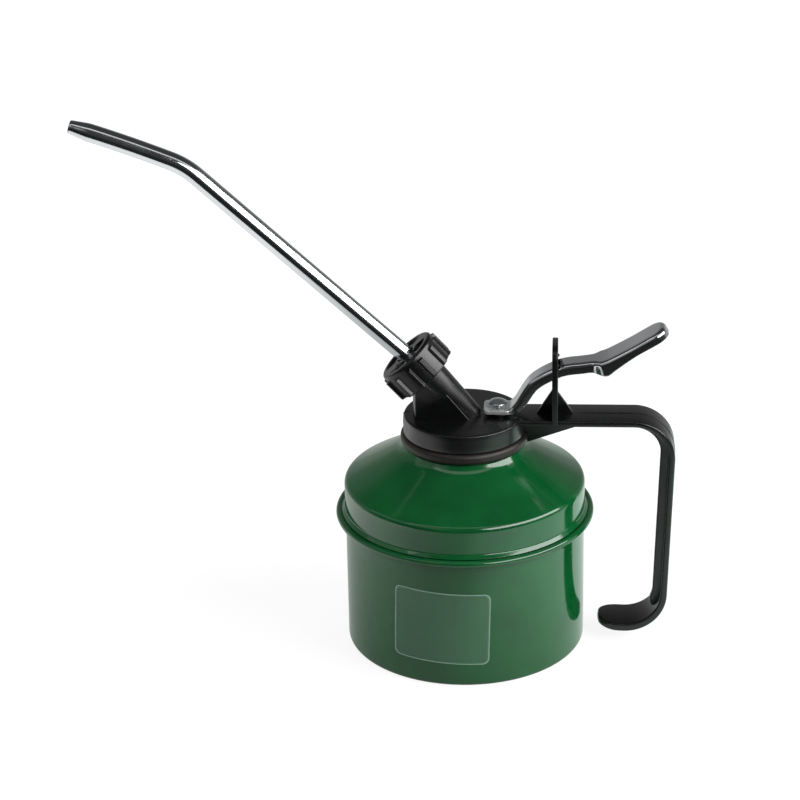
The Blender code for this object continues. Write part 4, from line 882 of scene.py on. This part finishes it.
def makeSpout():
    # A circle carried along the bent line, round the lip and back down its bore; each stretch
    # turns evenly from one elevation to the next
    legs = spout["legs"]
    heading = np.radians(join(*(a + (b - a) * (np.arange(n) + 0.5) / n for length, a, b, n in legs)))
    stride = join(*(np.full(n, length / n) for length, a, b, n in legs))
    e = math.radians(boss["elevation"])
    start = np.array([-spout["foot"] * math.cos(e), head["top"] + spout["foot"] * math.sin(e)])
    steps = stride[:, None] * np.column_stack([-np.cos(heading), np.sin(heading)])
    path = join(start[None], start + np.cumsum(steps, axis=0))
    walked = join([0.0], np.cumsum(stride))
    facing = join(heading[:1], (heading[1:] + heading[:-1]) / 2, heading[-1:])
    share = np.minimum(1.0, (walked[-1] - walked) / spout["taper"])
    share = share + spout["taperRound"] * (softStep(share, 0.0, 1.0) - share)
    outer = spout["tipRadius"] + (spout["radius"] - spout["tipRadius"]) * share
    inner = spout["tipBore"] + (spout["bore"] - spout["tipBore"]) * share
    lip = np.radians(np.linspace(*spout["lipArc"], 7))
    wall = (spout["tipRadius"] - spout["tipBore"]) / 2
    lipRadius = (spout["tipRadius"] + spout["tipBore"]) / 2 + wall * np.cos(lip)
    last = np.array([-math.cos(heading[-1]), math.sin(heading[-1])])
    path[-1] -= last * wall
    lipPath = path[-1] + last * (wall * np.sin(lip))[:, None]
    line = join(path, lipPath, path[::-1])
    radius = join(outer, lipRadius, inner[::-1])[:, None]
    angle = join(facing, np.full(7, heading[-1]), facing[::-1])[:, None]
    turn = np.arange(48) / 48 * math.tau
    lift = radius * np.sin(turn)
    grid = xyz(line[:, :1] + lift * np.sin(angle), radius * np.cos(turn), line[:, 1:] + lift * np.cos(angle))
    makePiece("spoutTube", grid, spoutChrome, "spout", "spout_tube", loopAlong=True)


makeNut()
turnPiece("spoutFerrule", ferrule, zinc, "spout", "spout_ferrule", leanOver, 2, 1.0)
makeSpout()
print("spout made")


# The thumb lever: a pressed channel with a flat foot and a wider pad, and its rivet

# A point of the line is x, z and the channel's depth there
lever = {"sheet": 1.2, "foot": 5.0, "arm": 4.5, "pad": 6.3, "widthX": [7.1, 15.0, 17.0, 45.2, 47.6, 70.0],
         "footCorner": 0.25, "corner": 1.5, "cornerX": [15.0, 18.4], "footRound": 1.4, "padRound": 4.8,
         "ridge": 4.0, "footEndX": (15.0, 17.0), "dull": 0.62,
         "line": [
             (7.1, 88.9, 1.25), (11.5, 88.9, 1.25), (15.0, 88.9, 1.3), (16.2, 89.15, 1.7), (17.0, 89.9, 2.3),
             (18.4, 92.0, 3.33), (19.8, 94.5, 3.7), (21.5, 97.3, 3.7), (23.4, 99.7, 3.7), (26.4, 102.0, 3.7),
             (30.15, 104.1, 3.7), (33.7, 105.6, 3.7), (37.2, 106.4, 3.7), (40.7, 106.8, 3.7),
             (44.1, 107.3, 3.75), (47.0, 107.8, 4.7), (48.8, 108.3, 5.4), (51.2, 109.4, 4.5),
             (57.9, 113.2, 3.4), (63.5, 116.7, 3.4), (69.4, 120.3, 3.4)]}


def makeLever():
    # The top face closes on the middle line, rolls over the corner radius at the outline and
    # drops to the flange's edge; the sheet's thickness is added inwards
    line = smoothLine(lever["line"], 0.6)
    x = line[:, 0]
    walked = join([0.0], np.cumsum(np.linalg.norm(np.diff(line[:, :2], axis=0), axis=1)))
    end = walked[-1]
    width = np.interp(x, lever["widthX"], np.repeat([lever["foot"], lever["arm"], lever["pad"]], 2))
    c, f = lever["padRound"], lever["footRound"]
    stations = join(walked[walked < end - c], end - c + c * np.sin(np.linspace(0, math.pi / 2, 14)))
    across = np.interp(stations, walked, width)
    short = np.clip(stations - (end - c), 0.0, c)
    across = across - c + np.sqrt(np.maximum(c ** 2 - short ** 2, 0.0))
    first = np.clip(f - stations, 0.0, f)
    across = across - f + np.sqrt(f ** 2 - first ** 2)
    left = np.column_stack([stations, across])
    endLine = np.column_stack([np.full(5, end), np.linspace(1.0, -1.0, 5) * across[-1]])[1:-1]
    startLine = np.column_stack([np.zeros(7), np.linspace(-1.0, 1.0, 7) * across[0]])[1:-1]
    outline = join(left, endLine, (left * (1, -1))[::-1], startLine)
    along = unit(np.roll(outline, -1, 0) - np.roll(outline, 1, 0))
    inward = np.column_stack([along[:, 1], -along[:, 0]])
    depth = np.interp(outline[:, 0], walked, line[:, 2])
    corner = np.interp(np.interp(outline[:, 0], walked, x), lever["cornerX"],
                       [lever["footCorner"], lever["corner"]])
    medial = np.column_stack([np.clip(outline[:, 0], lever["ridge"], end - c), np.zeros(len(outline))])
    shoulder = outline + inward * corner[:, None]
    rows = [(medial + (shoulder - medial) * share, 0 * corner) for share in np.linspace(0.0, 1.0, 6)[:-1]]
    rows += [(outline + inward * (corner * inset)[:, None], corner * drop)
             for inset, drop in zip(*quarterRound(8))]
    rows += [(outline, corner + (depth - corner) * share) for share in (0.4, 0.8, 0.93, 1.0)]
    flat, drop = (np.stack(part) for part in zip(*rows))
    tangent = unit(np.gradient(line[:, :2], walked, axis=0))
    px, pz, tx, tz = (np.interp(flat[..., 0], walked, column) for column in (*line[:, :2].T, *tangent.T))
    grid = xyz(px + drop * tz, flat[..., 1], pz - drop * tx)
    # The foot is satin and paler, and the flange's blanked edge is painted dark grey: painted shade
    # where the mirror would show the bright floor
    pastFoot = softStep(px, *lever["footEndX"])
    lastRow = (np.arange(len(rows)) == len(rows) - 1)[:, None]
    piece = makePiece("thumbLever", grid, leverChrome, "thumb_lever", "lever", sharp=50,
                      marks={"dull": lever["dull"] * (1 - pastFoot), "paintedEdgeShade": lastRow * pastFoot})
    if sum(face.normal.z * face.area for face in piece.data.polygons) < 0:
        piece.data.flip_normals()
    thicken(piece, lever["sheet"])


rivet = {"top": 91.6, "round": 5.286, "rimAngle": 51.4,
         "rim": [(3.35, 90.3), (3.3, 90.05), (1.5, 89.5), (0.0, 89.5)]}


def makeRivet():
    # A shallow dome with a thin rim, turned about the pump's axis
    arc = arcLine((0.0, rivet["top"] - rivet["round"]), rivet["round"], 90, rivet["rimAngle"], 14)
    grid = turnGrid(join(arc, rivet["rim"]), 48)
    makePiece("rivetHead", onPump(grid), zinc, "rod", "rod_rivet")


turned = [
    # name, closed profile of radius, height and fillet, material, body, node
    ("glandNut", [(1.8, 87.4), (3.9, 87.4, 0.2), (4.2, 87.1, 0.1), (4.2, 86.6), (3.2, 86.6), (3.2, 82.0),
                  (1.8, 82.0)], nylon, "pump_head", "rod_gland"),
    ("pumpBarrel", [(3.9, 75.0, 0.2), (4.8, 75.0, 0.2), (4.8, 46.0, 0.2), (3.9, 46.0, 0.2)],
     brass, "pump_head", "pump_barrel"),
    ("inletValveBody", [(2.1, 46.6), (3.6, 46.6, 0.2), (3.6, 45.7), (4.8, 45.7, 0.2), (4.8, 34.8, 0.2),
                        (4.0, 34.0, 0.3), (2.5, 34.0), (2.5, 39.5), (1.1, 39.5), (1.1, 41.0), (2.1, 41.0)],
     brass, "pump_head", "valve_body"),
    ("suctionTube", [(1.5, 39.2), (2.2, 39.2), (2.2, 7.0), (1.5, 7.0)], acetal, "pump_head", "suction_tube"),
    ("pumpRod", [(0.0, 90.5), (1.1, 90.5), (1.1, 89.2), (1.5, 89.2, 0.1), (1.5, 58.6), (1.1, 58.6),
                 (1.1, 47.0, 0.2), (0.0, 47.0)], steel, "rod", "pump_rod"),
    ("pumpPiston", [(1.4, 56.0), (3.6, 56.0, 0.2), (3.6, 50.0, 0.2), (1.4, 50.0)], brass, "rod", "piston"),
]
returnSpring = {"radius": 2.7, "wire": 0.3, "turns": 8, "foot": 58.6, "top": 76.7, "lift": 7.4}


def makeReturnSpring():
    # A small circle carried round a helix and kept square to it
    wire = returnSpring["wire"]
    low, high = returnSpring["foot"] + wire, returnSpring["top"] - wire
    share = np.linspace(0.0, 1.0, returnSpring["turns"] * 24 + 1)[:, None]
    angle = share * returnSpring["turns"] * math.tau
    slope = math.atan2(high - low, returnSpring["radius"] * returnSpring["turns"] * math.tau)
    turn = np.arange(10) / 10 * math.tau
    rise = wire * np.sin(turn)
    radius, back = returnSpring["radius"] + wire * np.cos(turn), -rise * math.sin(slope)
    grid = xyz(radius * np.cos(angle) - back * np.sin(angle), radius * np.sin(angle) + back * np.cos(angle),
               low + (high - low) * share + rise * math.cos(slope))
    piece = makePiece("returnSpring", closeEnds(onPump(grid)), spring, "pump_head", "return_spring")
    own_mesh(piece)


makeLever()
makeRivet()
for row in turned:
    turnPiece(*row)
makeReturnSpring()
carriedOver = {"spout_seal": rubber, "gland_seal": rubber, "piston_seal": rubber, "piston_nut": zinc,
               "ball_stop": zinc, "delivery_ball": steel, "suction_ball": steel, "strainer": brass}
for node, finish in carriedOver.items():
    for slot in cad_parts[node].material_slots:
        slot.material = finish
print("lever and pump made")


# The studio: floor, world, lamps and camera, the floor and the lamps in metres

studio = {"floorSize": 6.0, "cardReach": 0.178, "cardFade": 0.02, "pastCard": 0.012,
          "fadeBehind": (0.08, 0.3), "boardGrey": 0.35, "boardWhite": 0.86, "whiteFrom": (0.6, 1.3),
          "shownGrey": 0.22, "mirroredGrey": 0.01, "worldLevel": 0.28, "frontLevel": 0.05,
          "roomFrom": (-0.1, 0.15)}
# What the board mirrors across the object: x, red, green and blue. Near the can, where the key
# lamp strikes, it takes up some of the can's green
boardCard = [(-410, 0.12, 0.12, 0.12), (-385, 0.95, 0.95, 0.95), (-160, 1.25, 1.25, 1.25),
             (-100, 0.72, 0.74, 0.72), (-40, 0.48, 0.50, 0.48), (5, 0.52, 0.54, 0.52),
             (45, 0.85, 0.92, 0.88), (120, 1.18, 1.5, 1.33), (290, 1.2, 1.52, 1.35), (345, 0.5, 0.53, 0.5)]
# What the room mirrors behind the object: level at each share of straight up
room = [(0.0, 0.42), (0.14, 0.40), (0.24, 0.26), (0.46, 0.20), (0.62, 0.06)]
# Azimuth from the camera's side (-Y) towards the handle (+X), elevation, width, height, level, and
# whether it is there to be mirrored or to light
softboxes = {"rightSoftbox": (63, 32, 2.4, 0.75, 7.0, "mirrored"),
             "leftCard": (-60, 38, 2.4, 0.7, 0.35, "mirrored"),
             "frontStrip": (0, 66, 2.6, 0.36, 1.0, "mirrored"),
             "keyLamp": (72, 25, 1.6, 1.0, 6.8, "lighting"),
             "leftFill": (-95, 20, 1.4, 1.2, 2.2, "lighting"),
             "topFill": (170, 70, 1.0, 1.0, 1.0, "lighting")}
softboxStand = {"distance": 1.6, "height": 0.08}
white = (1.0, 1.0, 1.0, 1.0)


def lightPath(tree):
    # Whether a ray comes straight from the camera, or through glass, and whether it is mirrored
    path = addNode(tree, "LightPath")
    seen = addNode(tree, "Math", {0: path.outputs["Is Camera Ray"], 1: path.outputs["Is Transmission Ray"]},
                   operation="MAXIMUM")
    return seen, path.outputs["Is Glossy Ray"]


def makeFloor():
    # Matt white board: seen directly or mirrored it glows to white, less the object's soft shadow
    mesh = bpy.data.meshes.new("studioFloor")
    corners = [(-1, -1, 0), (1, -1, 0), (1, 1, 0), (-1, 1, 0)]
    mesh.from_pydata(np.multiply(corners, studio["floorSize"] / 2), [], [(0, 1, 2, 3)])
    floor = addObject("studioFloor", mesh)
    made = bpy.data.materials.new("whiteBoard")
    made.use_nodes = True
    tree = made.node_tree
    tree.nodes.clear()
    seen, glossy = lightPath(tree)
    where = addNode(tree, "TexCoord").outputs["Object"]
    split = addNode(tree, "SeparateXYZ", {"Vector": where})
    near = addNode(tree, "MapRange", {"Value": split.outputs["Y"], "To Min": studio["pastCard"],
                                      "From Min": -studio["cardReach"] - studio["cardFade"],
                                      "From Max": -studio["cardReach"]})
    gloss = addNode(tree, "Math", {0: glossy, 1: near}, operation="MULTIPLY")
    # The brighter ends fade out behind the object
    low, high = studio["fadeBehind"]
    beside = addNode(tree, "MapRange", {"Value": split.outputs["Y"], "From Min": low, "From Max": high,
                                        "To Min": 1.0, "To Max": 0.0})
    across = addNode(tree, "Math", {0: split.outputs["X"], 1: beside}, operation="MULTIPLY")
    across = addNode(tree, "MapRange", {"Value": across, "From Min": -0.5, "From Max": 0.5})
    ramp = addNode(tree, "ValToRGB", {"Fac": across})
    fillRamp(ramp, [(0.5 + x * mm, (*colour, 1.0)) for x, *colour in boardCard])
    mirrored = addNode(tree, "Emission", {"Color": ramp, "Strength": gloss})
    # Far from the lamps the board glows to white by itself
    away = addNode(tree, "VectorMath", {0: where}, operation="LENGTH").outputs["Value"]
    low, high = studio["whiteFrom"]
    level = addNode(tree, "MapRange", {"Value": away, "From Min": low, "From Max": high,
                                       "To Min": studio["boardWhite"], "To Max": 1.0})
    strength = addNode(tree, "Math", {0: seen, 1: level}, operation="MULTIPLY")
    glow = addNode(tree, "Emission", {"Color": white, "Strength": strength})
    glow = addNode(tree, "AddShader", {0: glow, 1: mirrored})
    grey = addNode(tree, "MapRange", {"Value": seen, "To Min": studio["boardGrey"],
                                      "To Max": studio["shownGrey"]})
    grey = addNode(tree, "MapRange", {"Value": glossy, "To Min": grey, "To Max": studio["mirroredGrey"]})
    matt = addNode(tree, "BsdfDiffuse", {"Color": grey})
    addNode(tree, "OutputMaterial", {"Surface": addNode(tree, "AddShader", {0: glow, 1: matt})})
    mesh.materials.append(made)


def makeWorld():
    # Mirrored, the room is white low down behind the object and dark overhead and in front
    world = bpy.data.worlds.new("studio")
    bpy.context.scene.world = world
    world.use_nodes = True
    tree = world.node_tree
    tree.nodes.clear()
    seen, glossy = lightPath(tree)
    facing = addNode(tree, "TexCoord").outputs["Generated"]
    split = addNode(tree, "SeparateXYZ", {"Vector": facing})
    ramp = addNode(tree, "ValToRGB", {"Fac": split.outputs["Z"]})
    fillRamp(ramp, [(height, (level, level, level, 1.0)) for height, level in room])
    low, high = studio["roomFrom"]
    behind = addNode(tree, "MapRange", {"Value": split.outputs["Y"], "From Min": low, "From Max": high})
    mirrored = addNode(tree, "Mix", {"Factor": behind, 2: studio["frontLevel"], 3: ramp})
    gloss = addNode(tree, "Mix", {"Factor": glossy, 2: studio["worldLevel"], 3: mirrored})
    level = addNode(tree, "Mix", {"Factor": seen, 2: gloss, 3: 1.0})
    glow = addNode(tree, "Background", {"Color": white, "Strength": level})
    addNode(tree, "OutputWorld", {"Surface": glow})


def addSoftbox(name, azimuth, elevation, width, height, level, purpose):
    # A lamp of area A and brightness L needs pi * A * L watts
    a, e = math.radians(azimuth), math.radians(elevation)
    way = Vector((math.sin(a) * math.cos(e), -math.cos(a) * math.cos(e), math.sin(e)))
    lamp = bpy.data.lights.new(name, "AREA")
    lamp.shape = "RECTANGLE"
    lamp.size = width
    lamp.size_y = height
    lamp.energy = math.pi * width * height * level
    holder = addObject(name, lamp)
    holder.location = Vector((0.0, 0.0, softboxStand["height"])) + way * softboxStand["distance"]
    holder.rotation_euler = (-way).to_track_quat("-Z", "Y").to_euler()
    holder.visible_camera = False
    holder.visible_glossy = purpose == "mirrored"
    holder.visible_diffuse = purpose == "lighting"


view = {"elevation": 23.893, "turn": 4.0, "roll": 1.1869, "distance": 982.68,
        "target": (-22.285, -1.558, 91.457), "lens": 126.0, "sensor": 36.0, "nearest": 10.0}


def makeCamera():
    # Looks down at the target from the front, turned and rolled by the view's small angles
    e, t, roll = (math.radians(view[name]) for name in ("elevation", "turn", "roll"))
    ahead = Vector((-math.sin(t) * math.cos(e), math.cos(t) * math.cos(e), -math.sin(e)))
    right = Vector((math.cos(t), math.sin(t), 0.0))
    up = right.cross(ahead)
    rolledRight = right * math.cos(roll) - up * math.sin(roll)
    rolledUp = right * math.sin(roll) + up * math.cos(roll)
    data = bpy.data.cameras.new("camera")
    data.lens = view["lens"]
    data.sensor_width = view["sensor"]
    data.clip_start = view["nearest"] * mm
    camera = addObject("camera", data)
    eye = (Vector(view["target"]) - ahead * view["distance"]) * mm
    axes = Matrix((rolledRight, rolledUp, -ahead)).transposed().to_4x4()
    camera.matrix_world = Matrix.Translation(eye) @ axes
    bpy.context.scene.camera = camera


makeFloor()
makeWorld()
for name, settings in softboxes.items():
    addSoftbox(name, *settings)
makeCamera()
bpy.context.scene.view_settings.view_transform = "Standard"
print("studio made")
